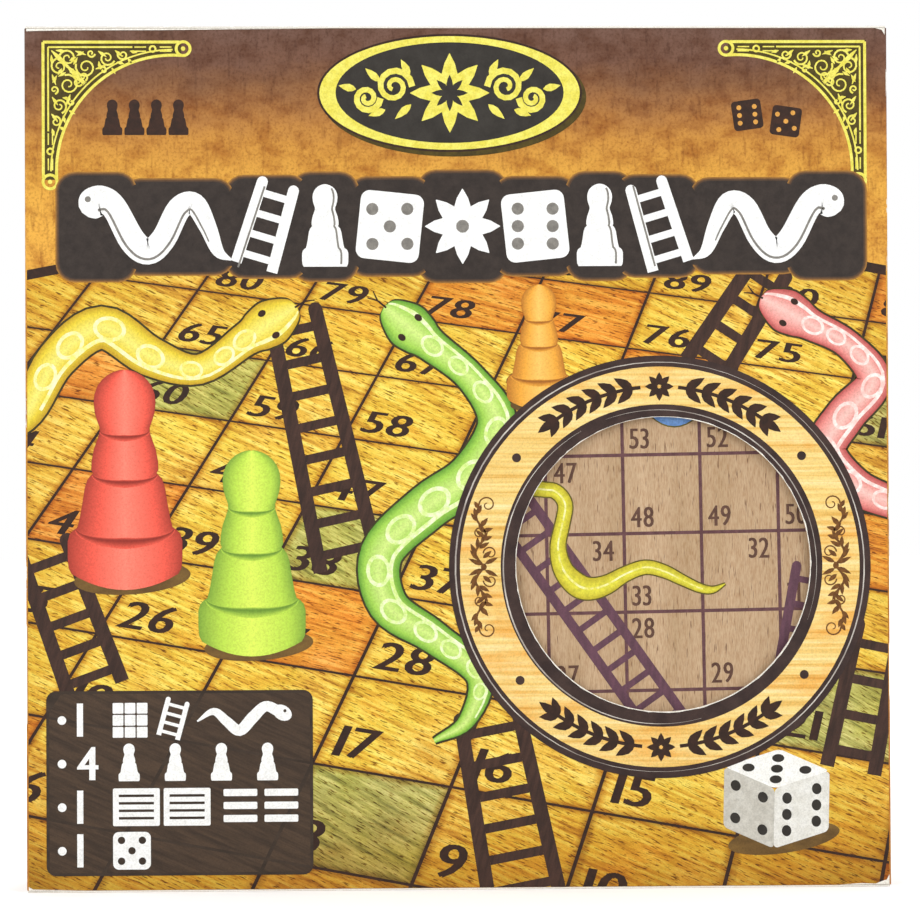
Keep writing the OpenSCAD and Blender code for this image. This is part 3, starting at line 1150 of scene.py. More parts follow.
def print_snakes(
    face: PrintedFace, snakes: Iterable[Snake], layer: float, outline: tuple[str, float],
    fit: Fit | None = None,
) -> tuple[Row, Row]:
    """Prints the bodies of snakes.

    Args:
        face: The face they are on.
        snakes: The snakes.
        layer: The layer of their bodies.
        outline: Name and layer of their common outlines.
        fit: Cuts a drawing to the face.

    Returns:
        What is still to be printed: their outlines, which go under them, and their eyes.
    """
    edge, eyes = sheets(2)
    for snake in snakes:
        snake.draw(face, layer, edge, eyes, fit)
    return (edge, *outline, Inks.SNAKE_EDGE), (eyes, "snake_eyes", layer + 3, Inks.LINE)


def draw_filigree(lines: Artwork, gaps: Artwork, corner: Point, way: Point, size: float = 1.0) -> None:
    """Draws a pierced corner bracket of scrolls and leaves.

    Args:
        lines: Drawing of its bright lines.
        gaps: Drawing of the dark ground between them.
        corner: Its outer corner.
        way: Signs that point from the corner along x and y into the face.
        size: Its scale, where 1 is 43 mm long.
    """
    def at(a: float, b: float, flip: bool = False) -> Point:
        """A point from the corner along the two arms, or its mirror image about the diagonal."""
        a, b = (b, a) if flip else (a, b)
        return corner[0] + way[0] * a * size, corner[1] + way[1] * b * size

    def sweep(path: Iterable[Waypoint], flip: bool = False) -> None:
        """Adds a line of the bracket, or its mirror image."""
        lines.band([(*at(a, b, flip), width * size) for a, b, width in path])

    centre, radius = (40.35, 40.35), 35.85
    edge = arc(centre, radius, 175.8, 274.2, 0, 24)
    gaps.polygon([at(0, 0), at(43, 0), *(at(a, b) for a, b, _ in reversed(edge)), at(0, 43)])
    sweep(arc(centre, radius, 176, 274, 0.9, 30))
    sweep(arc(centre, radius + 1.7, 180, 270, 0.5, 30))
    for flip in (False, True):
        for offset, width, length in ((0.45, 0.9, 42.5), (2.0, 0.55, 28.0)):
            sweep([(offset, offset, width), (length, offset, width)], flip)
        end = at(43.6, 2.5, flip)
        lines.ring(end, 1.7 * size, 2.6 * size, 24)
        lines.dot(end, 0.7 * size)
        lines.ring(at(34.2, 2.6, flip), 0.6 * size, 1.2 * size, 14)
        for a in (28.6, 36.4):
            for b in (2.0, 3.3):
                sweep([(a, b, 0.4), (a + 3.6, b, 0.4)], flip)
        for a, b, r, start, turn in (
            (8.0, 5.4, 2.6, 200, 520), (13.6, 8.2, 3.2, 200, -560), (20.2, 5.4, 2.4, 20, 520),
            (25.0, 4.4, 1.6, 190, -480), (15.2, 3.9, 1.3, 10, 430), (19.0, 9.2, 1.2, 200, 400),
            (11.2, 12.8, 1.4, 30, 420),
        ):
            sweep(scroll((a, b), r, start, turn, 0.62), flip)
        for a, b, length, turn in (
            (10.4, 3.2, 3.6, 20), (17.4, 3.2, 3.2, 35), (22.6, 3.0, 3.0, 40), (16.6, 8.8, 4.0, -20),
            (11.4, 11.0, 3.2, 60), (8.6, 9.6, 3.0, 20), (4.4, 3.0, 3.4, 5), (17.6, 6.4, 2.6, 80),
            (27.2, 3.2, 2.4, 15), (13.0, 3.4, 2.6, 150), (23.2, 6.6, 2.4, 15), (21.6, 8.4, 2.2, 60),
            (9.8, 7.4, 2.6, -60), (6.2, 8.6, 2.4, 120), (26.6, 5.6, 1.8, 50),
        ):
            middle, tip = polar((a, b), length * 0.45, turn), polar((a, b), length, turn)
            sweep([(a, b, 0.2), (*middle, 1.05), (*tip, 0.1)], flip)
    sweep([(3.0, 3.0, 0.3), (5.2, 5.2, 1.5), (8.4, 8.4, 0.8), (10.4, 10.4, 1.8), (13.4, 13.4, 0.2)])


# Faces of the carton


def carton_faces() -> dict[str, PrintedFace]:
    """Finds the carton's outer faces and the board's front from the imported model.

    Returns:
        Each face by its name.
    """
    low, high = CAD_BOX
    x, y = (low.x + high.x) / 2, (low.y + high.y) / 2
    board_low, board_high = (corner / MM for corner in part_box("game_board"))
    board = (board_low + board_high) / 2
    tilt = math.radians(BOARD_TILT)
    return {made.name: made for made in (
        PrintedFace("front", "carton", "front_print", (x, low.y, low.z), (1, 0, 0)),
        PrintedFace("back", "carton", "back_print", (x, high.y, low.z), (-1, 0, 0)),
        PrintedFace("left", "carton", "side_print", (low.x, y, low.z), (0, -1, 0)),
        PrintedFace("right", "carton", "side_print", (high.x, y, low.z), (0, 1, 0)),
        PrintedFace("top", "top_lid", "side_print", (x, y, high.z), (1, 0, 0), (0, 1, 0)),
        PrintedFace("bottom", "bottom_lid", "side_print", (x, y, low.z), (1, 0, 0), (0, -1, 0)),
        PrintedFace("board", "carton", "beech_plywood", (board.x, board_low.y, board.z),
                    (math.cos(tilt), 0, math.sin(tilt)), (-math.sin(tilt), 0, math.cos(tilt))),
    )}


@dataclass(frozen=True)
class Slant:
    """Shows a unit square about its middle as a slanted one."""

    middle: Point
    right: Point
    up: Point

    def __call__(self, point: Vector) -> Vector:
        """Moves a point of the unit square to where it shows."""
        axes = zip(self.middle, self.right, self.up)
        return Vector((*(start + point.x * right + point.y * up for start, right, up in axes), 0.0))


@dataclass
class FrontPrint:
    """Print of the carton's front: a board in perspective under the window's printed ring."""

    face: PrintedFace
    font: Numerals
    half: float = 132.9
    low: float = 0.7
    high: float = 266.3
    horizon: float = 660.0
    nearness: float = 0.00106
    square: float = 47.0
    gap: float = 0.6
    turn: float = -15.0
    shift: Point = (-12.0, 196.0)
    ring_centre: Point = (62.2, 99.4)
    ring_radius: float = 65.4
    opening: float = 55.0
    band: Point = (49.6, 62.0)
    list_box: tuple[Point, Point] = ((-127.4, 5.1), (-45.4, 62.0))
    rim_centre: Point = (2.0, -484.0)
    rim_radius: float = 687.0

    def in_perspective(self, point: Vector) -> Vector:
        """Moves a point of the pictured board, seen from above, to where the print shows it."""
        scale = 1 / (1 + self.nearness * point.y)
        return Vector((point.x * scale, self.horizon * (1 - scale), 0.0))

    def dimness(self, point: Vector) -> float:
        """How much darker the pictured board is at a point, near the panel's edges."""
        near, far, side = (34 - point.y) / 46, (point.y - 165) / 95, (abs(point.x) - 118) / 60
        return sum(max(0.0, share) for share in (near, far, side))

    def fit(self, art: Artwork) -> None:
        """Cuts a drawing to the panel and opens it under the ring."""
        art.trim((-self.half, self.low), (self.half, self.high))
        art.cut_out(self.ring_centre, self.opening)

    def fit_board(self, art: Artwork) -> None:
        """Cuts a drawing to the panel, the ring and the pictured board's round far edge.

        Args:
            art: The drawing.
        """
        x, y = self.rim_centre
        for angle in range(78, 103):
            point = polar((x, y), self.rim_radius, angle)
            art.keep_below(point, (point[0] - x, point[1] - y))
        self.fit(art)

    def squares(self) -> None:
        """Prints the pictured board: dark ground, three tones of squares, and their numbers."""
        ground, numbers, glimpse, *tones = sheets(6, self.in_perspective)
        ground.panel((-240, -5), (240, 470))
        spin = Matrix.Rotation(math.radians(self.turn), 2)
        side = self.square - 2 * self.gap
        for column in range(-7, 7):
            for row in range(-7, 7):
                middle = spin @ Vector((column + 0.5, row + 0.5)) * self.square + Vector(self.shift)
                if not (-235 < middle.x < 235 and -40 < middle.y < 470):
                    continue
                tone = TONES[(3 * column + 5 * row + column * row) % len(TONES)]
                tones[tone].tile(middle, (side, side), 0, self.turn, 2.6)
                if middle.x < 10 and middle.y < 110:
                    glimpse.tile(middle, (side, side), 0, self.turn)
                order = column + 7 if row % 2 == 0 else 6 - column
                value = 10 * (row + 4) + order % 10 + 1
                if 0 < value <= 100:
                    corner = middle + spin @ Vector((4 - side / 2, 5 - side / 2))
                    numbers.number(value, corner, 15.5, self.font, self.turn)
        rows = (
            (ground, "board_ground", 1, Inks.LINE),
            *((art, name, 2, ink) for art, (name, ink) in zip(tones, TONE_PRINT)),
            (numbers, "square_numbers", 3, Inks.LINE),
        )
        for art, *_ in rows:
            self.fit_board(art)
            for vert in art.mesh.verts:
                vert[art.across] = min(1.0, 0.7 * vert[art.across] + self.dimness(vert.co))
        print_rows(self.face, rows)
        margin = Vector((0.9, 0.9))
        glimpse.trim(Vector(self.list_box[0]) + margin, Vector(self.list_box[1]) - margin)
        glimpse.printed("contents_panel_glimpse", self.face, 10.9, Inks.GLIMPSE)
        rim = Artwork()
        rim.band(arc(self.rim_centre, self.rim_radius + 0.6, 78.5, 101.5, 3.0, 40))
        self.fit(rim)
        rim.printed("board_rim", self.face, 3, Inks.LINE)

    def ladders(self) -> None:
        """Prints the ladders that lie on the pictured board."""
        art = Artwork()
        for foot, top, gaps in (
            ((-112, 62), (-128, 106), (17, 15)), ((-34, 100), (-51, 178), (18, 14)),
            ((20, -4), (9, 54), (22, 18)), ((76, 160), (97, 192), (13, 11)),
            ((121, 36), (130, 80), (15, 13)),
        ):
            art.ladder(foot, top, gaps, 4.4, 9.2)
        self.fit_board(art)
        art.printed("ladders", self.face, 4, Inks.TIMBER)

    def snakes(self) -> None:
        """Prints three plain snakes."""
        rows = print_snakes(self.face, (
            Snake("yellow_snake", (
                (-66, 170, 10), (-80, 161, 9), (-95, 165, 12), (-110, 174, 13), (-124, 164, 12),
                (-133, 148, 10), (-143, 140, 6)), YELLOW_SNAKE),
            Snake("green_snake", (
                (-8, 168, 10), (4, 158, 9), (12, 144, 12), (4, 128, 14), (-10, 118, 14), (-24, 104, 13),
                (-22, 88, 12), (-8, 78, 10), (6, 66, 8), (2, 52, 5), (-8, 46, 1.5)), GREEN_SNAKE),
            Snake("pink_snake", (
                (110, 174, 9.5), (121, 168, 8.5), (129, 157, 10.5), (120, 146, 12), (114, 135, 12),
                (123, 124, 11), (136, 118, 9), (144, 112, 4)),
                ("#fbc9c0", "#ea8f88", "#b8504e", "#fff1ea")),
        ), 6, ("snake_outlines", 5), self.fit)
        print_rows(self.face, rows, fit=self.fit)

    def figures(self) -> None:
        """Prints three pawns that stand on the pictured board."""
        shadow = Artwork()
        chalk, bow = "#f7f6f4", 0.3
        for name, (x, y), height, (light, mid, dark, deep) in (
            ("red_pawn", (-103, 98), 63, ("#ff8672", "#f2604e", "#a83d30", "#8e2f26")),
            ("green_pawn", (-64, 77), 59, ("#e0f763", "#bcdf50", "#7fa53c", "#688f30")),
            ("orange_pawn", (25, 151), 36, ("#fdc767", "#f2ab40", "#b9762a", "#9a5f22")),
        ):
            body, creases = sheets(2)
            draw_pawn(body, (x, y), height, bow, 12)
            shadow.disc((x + height * 0.035, y - height * 0.02), (height * 0.285, height * 0.08), 4, 40)
            for share, width in PAWN_CREASES:
                half, path = PAWN_WIDTH / 2 * height * width, []
                for angle in range(-84, 85, 12):
                    across, ahead = polar((0, 0), half, angle - 90)
                    thick = 0.5 + 0.2 * half * (1 - abs(angle) / 90)
                    path.append((x + across, y + height * share + bow * ahead, thick))
                creases.band(path, 4)
            crease_ink = Ink(f"ink_{name}_crease", ((0.38, chalk), (0.6, "#ffffff")), (0.8, 0.8, 0.8),
                             across=((0.0, mid), (0.5, dark), (0.72, deep), (0.86, dark), (1.0, mid)))
            print_rows(self.face, (
                (body, name, 9, shaded_ink(f"ink_{name}", light, mid, dark, chalk)),
                (creases, f"{name}_creases", 10, crease_ink),
            ), fit=self.fit)
        self.fit(shadow)
        shadow.printed("pawn_shadows", self.face, 8.5, Inks.SHADE)

    def die(self) -> None:
        """Prints a die as three slanted faces with their pips."""
        x, y, side = 97.0, 12.0, 19.0
        left, right, up = ((a * side, b * side) for a, b in ((-0.82, 0.36), (0.9, 0.28), (0.02, 0.98)))
        shadow, pips = sheets(2)
        shadow.disc((x + 3.2, y + 3.2), (17.5, 4.6), 8, 32)
        shadow.printed("die_shadow", self.face, 4.5, Inks.SHADE)
        for name, origin, first, second, count, size, lean, tones in (
            ("die_left_side", (x, y), left, up, 4, (1.5, 1.75), 0.2, ("#cfccc2", "#bdb9ae")),
            ("die_right_side", (x, y), right, up, 6, (1.5, 1.75), 0.2, ("#ebeae4", "#dddbd2")),
            ("die_top", (x + up[0], y + up[1]), left, right, 5, (1.9, 1.25), 0.0, ("#fafaf6", "#f1f0ea")),
        ):
            middle = (origin[0] + (first[0] + second[0]) / 2, origin[1] + (first[1] + second[1]) / 2)
            face = Artwork(Slant(middle, first, second))
            face.panel((-0.5, -0.5), (0.5, 0.5), 0.08)
            face.printed(name, self.face, 5, plain(f"ink_{name}", *tones))
            spread = ((first[0] * 0.27, first[1] * 0.27), (second[0] * 0.27, second[1] * 0.27))
            turn = lean * math.degrees(math.atan2(first[1], first[0]))
            draw_pips(pips, middle, spread, count, size, turn)
        pips.printed("die_pips", self.face, 6, Inks.BLACK_BROWN)

    def window_ring(self) -> None:
        """Prints the ring round the window: dark rims, a pale wood band and its ornaments."""
        centre = self.ring_centre
        rims, glints, wood, ornaments, garland = sheets(5)
        wood.ring(centre, self.band[0] - 0.5, self.band[1] + 0.5)
        rims.ring(centre, self.band[1], self.ring_radius)
        between = ((centre[0] + WINDOW[0]) / 2, (centre[1] + WINDOW[1]) / 2)
        rims.ring(between, WINDOW_RADIUS + 1.0, self.band[0] + 0.3)
        rims.ring(WINDOW, WINDOW_RADIUS + 0.05, WINDOW_RADIUS + 2.0)
        for radius, start, end, width in (
            (63.4, 60, 272, 0.42), (63.4, 268, 424, 0.34), (48.6, 120, 285, 0.4), (48.6, -20, 110, 0.28),
        ):
            path = arc(centre, radius, start, end, width, 40)
            swell = math.pi / (len(path) - 1)
            glints.band([(x, y, 0.05 + w * math.sin(swell * i)) for i, (x, y, w) in enumerate(path)])
        for angle in (37.8, 142.6, 218.7, 323):
            rims.dot(polar(centre, 55.8, angle), 1.4, 20)
        for sign in (-1, 1):
            self.side_scroll(ornaments, (centre[0] + sign * 54.6, centre[1] + 0.2), sign)
        for middle in (90, 270):
            self.garland(garland, centre, middle)
        print_rows(self.face, (
            (wood, "ring_wood_band", 11, Inks.PALE_WOOD), (rims, "ring_rims", 12, Inks.RIM),
            (glints, "ring_glints", 13, Inks.GLINT), (ornaments, "ring_scrolls", 13, Inks.BROWN),
            (garland, "ring_garlands", 13, Inks.LINE), (self.cut_edge(), "window_cut_edge", 13.5, Inks.CUT),
        ))

    def cut_edge(self) -> Artwork:
        """Draws the window's pale die-cut edge, a little ragged and wider on its lower side.

        Returns:
            The drawing.
        """
        cut = Artwork()
        cut.ring(WINDOW, WINDOW_RADIUS, WINDOW_RADIUS + 0.75, 180)
        draw = random.Random(7)
        for vert in cut.mesh.verts:
            away = Vector((vert.co.x - WINDOW[0], vert.co.y - WINDOW[1]))
            if away.length > WINDOW_RADIUS + 0.4:
                low_side = 0.5 + 0.5 * math.cos(math.atan2(away.y, away.x) + math.radians(60))
                away.length = WINDOW_RADIUS + 0.1 + 0.16 * low_side + 0.24 * draw.random() ** 2
                vert.co.x, vert.co.y = WINDOW[0] + away.x, WINDOW[1] + away.y
        return cut

    def garland(self, art: Artwork, centre: Point, middle: float) -> None:
        """Draws a laurel garland along the ring.

        Args:
            art: What it is drawn on.
            centre: The ring's centre.
            middle: The angle of the garland's middle.
        """
        radius = 55.8
        for sign in (-1, 1):
            art.band(arc(centre, radius, middle + sign * 6, middle + sign * 37, 1.1, 20))
            for step in range(6):
                angle = middle + sign * (8.5 + step * 5.2)
                for side in (-1, 1):
                    turn = angle - sign * 90 + 180 + sign * side * 37
                    art.leaf(polar(centre, radius, angle), 6.6 - 0.1 * step, 2.9, turn)
            art.leaf(polar(centre, radius, middle + sign * 36), 6.0, 2.8, middle + sign * 126)
        draw_rosette(art, polar(centre, radius, middle), 4.4, 0.5)

    def side_scroll(self, art: Artwork, middle: Point, sign: int) -> None:
        """Draws an upright leaf scroll beside the window.

        Args:
            art: What it is drawn on.
            middle: Its middle.
            sign: 1 where it opens to the right.
        """
        def at(side: float, along: float) -> Point:
            """A point this far outwards and along from the scroll's middle."""
            return middle[0] + sign * side, middle[1] + along

        for up in (-1, 1):
            art.band(smooth([(*at(side, up * along), width) for side, along, width in (
                (0, 0, 0.8), (2.6, 4.5, 0.75), (-0.6, 10, 0.7), (2.2, 15, 0.6), (1.2, 20.2, 0.45))]))
            for side, along, radius, start, sweep in (
                (-1.2, 19.2, 2.7, 0, 440), (1.4, 10.4, 2.0, 180, -430), (-2.0, 4.2, 2.2, 0, 430),
            ):
                turn = start if sign > 0 else 180 - start
                art.band(scroll(at(side, up * along), radius, turn, sign * up * sweep, 0.48))
            for along, side, length, turn in (
                (0.6, 0.6, 4.6, 26), (2.2, 1.6, 4.0, 48), (3.8, 2.4, 3.8, 64), (5.6, 1.8, 3.6, 88),
                (7.5, 0.8, 3.8, 122), (9.0, -0.4, 3.8, 40), (10.6, 0.0, 3.4, 62), (12.5, 0.8, 3.4, 128),
                (14.2, 1.8, 3.2, 48), (15.6, 2.1, 2.8, 72), (1.0, -0.4, 4.4, 154), (2.8, 0.2, 3.4, 140),
                (5.8, 1.4, 3.6, 150), (8.4, 0.2, 3.0, 160), (11.0, 0.4, 3.4, 164), (13.2, 1.0, 2.6, 150),
                (16.5, 1.8, 3.0, 112), (18.2, 1.6, 2.4, 60),
            ):
                art.leaf(at(side, up * along), length, 1.45, up * turn if sign > 0 else 180 - up * turn)
        art.disc(middle, (0.9, 1.1), 0, 14)

    def contents_panel(self) -> None:
        """Prints the dark panel with a row of signs for each thing in the box."""
        panel, signs, details = sheets(3)
        panel.panel(*self.list_box, 3.0, margin=0.9)
        for y, count in ((53.0, 1), (39.6, 4), (26.2, 1), (12.8, 1)):
            signs.dot((-122.6, y), 1.35, 16)
            signs.number(count, (-118.0, y - 5.0), 10.2, self.font)
        for i in range(3):
            for k in range(3):
                low = (-107 + 3.7 * i, 47.6 + 3.7 * k)
                signs.panel(low, (low[0] + 3.3, low[1] + 3.3), 0.3)
        signs.ladder((-90, 47.6), (-87, 58.6), (6, 6), 1.5, 2.7)
        signs.band(smooth((
            (-56, 55.5, 3.4), (-60, 57, 3.2), (-64, 53.5, 3.6), (-68, 49.6, 3.4), (-72, 52.5, 3.0),
            (-76, 55.5, 2.2), (-81, 52.5, 0.5))))
        signs.disc((-54.8, 55.0), (3.1, 2.3), -30, 20)
        details.dot((-54.0, 55.6), 0.5, 10)
        for i in range(4):
            draw_pawn(signs, (-102.0 + 14.2 * i, 34.2), 11.6)
        for x in (-107, -91.4):
            signs.panel((x, 20.4), (x + 14.4, 32.0), 0.5)
            for k in range(4):
                details.panel((x + 1.8, 22.4 + 2.3 * k), (x + 12.6, 23.2 + 2.3 * k))
        for x in (-73.0, -60.4):
            for k in range(3):
                signs.panel((x, 21.4 + 4 * k), (x + 10.4, 23.6 + 4 * k), 0.4)
        signs.panel((-107, 7.0), (-95.4, 18.6), 1.8)
        draw_pips(details, (-101.2, 12.8), ((3.2, 0), (0, 3.2)), 5, (1.15, 1.15))
        print_rows(self.face, (
            (panel, "contents_panel", 10.5, Inks.PANEL), (signs, "contents_signs", 11.5, Inks.WHITE),
            (details, "contents_details", 12.5, Inks.PANEL),
        ))

    def corners(self) -> None:
        """Prints the corner brackets and the small signs beside them, and bares the worn corners."""
        lines, gaps, dark, light, worn = sheets(5)
        for outline in (
            ((117.5, 0.7), (124, 1.15), (128.5, 0.95), (130.8, 1.8), (132.1, 2.2), (132.9, 3.9),
             (132.9, 0.7)),
            ((-132.9, 266.3), (-132.9, 265.5), (-121, 265.75), (-92, 265.8), (-70, 266.05),
             (-38, 266.3)),
            ((-132.9, 0.7), (-132.9, 1.9), (-131.6, 1.1), (-126, 0.95), (-115, 0.7)),
            ((132.9, 266.3), (129.8, 266.3), (131.9, 265.8), (132.9, 264.2)),
        ):
            worn.polygon(outline)
        draw_filigree(lines, gaps, (-128.2, 262.6), (1, -1))
        draw_filigree(lines, gaps, (127.1, 262.6), (-1, -1))
        for i in range(4):
            draw_pawn(dark, (-106.5 + 6.8 * i, 233.4), 11.0)
        for i in range(2):
            middle = (90.0 + 12.0 * i, 239.4 - 2.0 * i)
            dark.tile(middle, (9.2, 9.2), 1.2, 8 - 16 * i)
            draw_pips(light, middle, ((2.4, 0.2), (-0.2, 2.4)), 6 - i, (0.75, 0.75))
        print_rows(self.face, (
            (gaps, "filigree_gaps", 1, Inks.OLIVE_GAP), (lines, "filigree_lines", 2, Inks.YELLOW),
            (dark, "small_signs", 2, Inks.LINE), (light, "small_sign_pips", 3, Inks.GOLD_SPOT),
            (worn, "worn_corners", 14, Inks.CUT),
        ))

    def build(self) -> None:
        """Prints the whole front."""
        self.squares()
        self.ladders()
        self.snakes()
        self.figures()
        self.die()
        self.window_ring()
        self.contents_panel()
        print_plaque(self.face, (-2.3, 246.3), 5)
        print_frieze(self.face, (1.5, 205.0), 1.0, 5, 124)
        self.corners()


def print_plaque(face: PrintedFace, centre: Point, layer: float) -> None:
    """Prints an oval plaque with a rosette between two scrolls.

    Args:
        face: The face that it is on.
        centre: Its middle.
        layer: Its lowest layer.
    """
    shadow, edge, oval, ground, ornament, heart = sheets(6)
    x, y = centre
    for art, dx, dy, half, rise in (
        (shadow, 1.2, -1.3, 41.1, 18.4), (edge, 0, 0, 41.0, 18.3), (oval, 0, 0, 40.3, 17.6),
        (ground, 0, 0.1, 35.3, 15.6),
    ):
        art.disc((x + dx, y + dy), (half, rise), 0, 72)
    draw_rosette(ornament, centre, 12.2)
    draw_rosette(heart, centre, 5.6, 0.36)
    for side in (-1, 1):
        for distance, rise, radius, way in ((17.2, 2.0, 5.6, 1), (25.6, -1.6, 4.2, -1)):
            start = 180 if side > 0 else 0
            ornament.band(scroll((x + side * distance, y + rise), radius, start, -side * way * 600, 2.0))
        for distance, rise, length, turn in (
            (12.4, 5.4, 5.6, 62), (12.0, -3.6, 6.6, -42), (20.0, -5.2, 5.4, -20), (21.6, 3.6, 6.0, 42),
            (29.0, 1.2, 5.4, 12),
        ):
            ornament.leaf((x + side * distance, y + rise), length, 2.4, turn if side > 0 else 180 - turn)
    print_rows(face, (
        (shadow, "plaque_shadow", 0, Inks.OLIVE_GAP), (edge, "plaque_edge", 0.5, Inks.LINE),
        (oval, "plaque_oval", 1, Inks.YELLOW), (ground, "plaque_field", 2, Inks.BLACK_BROWN),
        (ornament, "plaque_ornament", 3, Inks.YELLOW), (heart, "plaque_heart", 3.5, Inks.BLACK_BROWN),
    ), layer)


def print_frieze(face: PrintedFace, centre: Point, size: float, layer: float, half: float) -> None:
    """Prints a scalloped dark band with a row of bold white signs.

    Args:
        face: The face that it is on.
        centre: Its middle.
        size: Its scale, where 1 is 33 mm high.
        layer: Its lowest layer.
        half: Half its length.
    """
    halo, band, signs, details = sheets(4)
    x, y = centre

    def spot(dx: float, dy: float) -> Point:
        """A point from the frieze's middle."""
        return x + dx * size, y + dy * size

    def scallop(low: Point, high: Point, corner: float) -> None:
        """Adds one panel to the band, and a wider one with a soft edge to its halo.

        Args:
            low: Its lower left corner.
            high: Its upper right corner.
            corner: Radius of its corners, before the frieze's scale.
        """
        for art, grow, margin in ((halo, 0.6, 1.3), (band, -0.7, 0.0)):
            art.panel(
                (low[0] - grow, low[1] - grow), (high[0] + grow, high[1] + grow), corner * size, margin)

    scallop((x - half, y - 12.8 * size), (x + half, y + 11.4 * size), 5)
    for place, width, height in (
        (0, 27, 34), (22.5, 25, 30), (42.5, 20, 33), (60.5, 25, 31), (88, 34, 29), (113, 24, 33),
    ):
        for side in (-1, 1):
            left, right = side * place - width / 2, side * place + width / 2
            scallop(spot(left, -height / 2), spot(right, height / 2), 6)
    line = 0.6 * size
    for side in (-1, 1):
        path = smooth([(*spot(side * (95.5 - 0.8 * a), b), c * size) for a, b, c in (
            (-28, 5.4, 2.0), (-26.6, 6.0, 6.6), (-24, 7.0, 9.4), (-20, 8.2, 9.2), (-15, 6.0, 7.8),
            (-8, -4.2, 8.2), (-2, -7.6, 8.0), (4, -3.6, 7.6), (10, 5.6, 7.4), (16, 7.0, 6.8),
            (21, 0.0, 5.4), (25, -7.6, 3.6), (30, -10.2, 0.6))])
        signs.band(path, 2)
        details.dot(spot(side * 115.6, 8.6), 0.95 * size)
        details.band(beside(path[14:-8], 0.3 * side, 0.09))
        foot, top = spot(side * 64.5, -12.5), spot(side * 57, 12.5)
        signs.ladder(foot, top, (11.5 * size, 10 * size), 3.4 * size, 6.2 * size)
        details.band([(foot[0] - 4.9 * size, foot[1], line), (top[0] - 4.1 * size, top[1], line)])
        draw_pawn(signs, spot(side * 42.5, -12.4), 25.5 * size)
        details.band([(*spot(side * 42.5 + 5.0 * w, -12.4 + 25.5 * t), line) for t, w in PAWN_SHARES[1:-4]])
        die = spot(side * 22.5, 0)
        signs.tile(die, (19.6 * size, 21.2 * size), 2.8 * size, side * 6)
        spread, pip = 5.4 * size, 1.9 * size
        draw_pips(details, die, ((spread, 0), (0, spread)), 5 if side < 0 else 6, (pip, pip))
    draw_rosette(signs, centre, 11.6 * size, 0.46)
    details.dot(centre, 2.0 * size, 18)
    print_rows(face, (
        (halo, "frieze_edge", 0, Inks.HALO), (band, "frieze_band", 1, Inks.CHARCOAL),
        (signs, "frieze_signs", 2, Inks.WHITE), (details, "frieze_details", 3, Inks.GREY),
    ), layer)


@dataclass
class SidePrint:
    """Print of one narrow side wall: a ladder with a snake round it."""

    face: PrintedFace
    snake: str
    colours: tuple[str, str, str, str]
    sign: int
    half: float = 18.3

    def fit(self, art: Artwork) -> None:
        """Cuts a drawing to the wall."""
        art.trim((-self.half, 1.6), (self.half, 265.4))

    def wave(self) -> list[Waypoint]:
        """Waypoints down the ladder, tapering towards the tail."""
        bends = ((i, self.sign * 9.5 * math.sin(math.radians(62 * i))) for i in range(14))
        return [(x, 218 - 13.5 * i, 7.5 - 1.8 * max(i - 10, 0)) for i, x in bends]

    def build(self) -> None:
        """Prints the wall."""
        rails, caps, signs, details, lines = sheets(5)
        rails.ladder((0, 38), (0, 229), (15, 15), 3.0, 10.6)
        for low, high in ((6, 30), (237, 261)):
            caps.panel((-16.2, low), (16.2, high), 3)
            lines.annulus((0, (low + high) / 2), (13.6, 9.6), (14.4, 10.4), 48)
        draw_pawn(signs, (0, 8.8), 18)
        signs.tile((0, 249), (14, 14), 2, 8)
        draw_pips(details, (0, 249), ((3.9, 0), (0, 3.9)), 5, (1.3, 1.3))
        print_rows(self.face, (
            (rails, "ladder", 1, Inks.TIMBER), (caps, "panels", 1, Inks.CHARCOAL),
            (lines, "panel_rings", 2, Inks.YELLOW), (signs, "signs", 2, Inks.WHITE),
            (details, "details", 3, Inks.CHARCOAL),
        ))
        snake = Snake(self.snake, self.wave(), self.colours)
        rows = print_snakes(self.face, (snake,), 3, ("snake_outline", 2), self.fit)
        print_rows(self.face, rows, fit=self.fit)


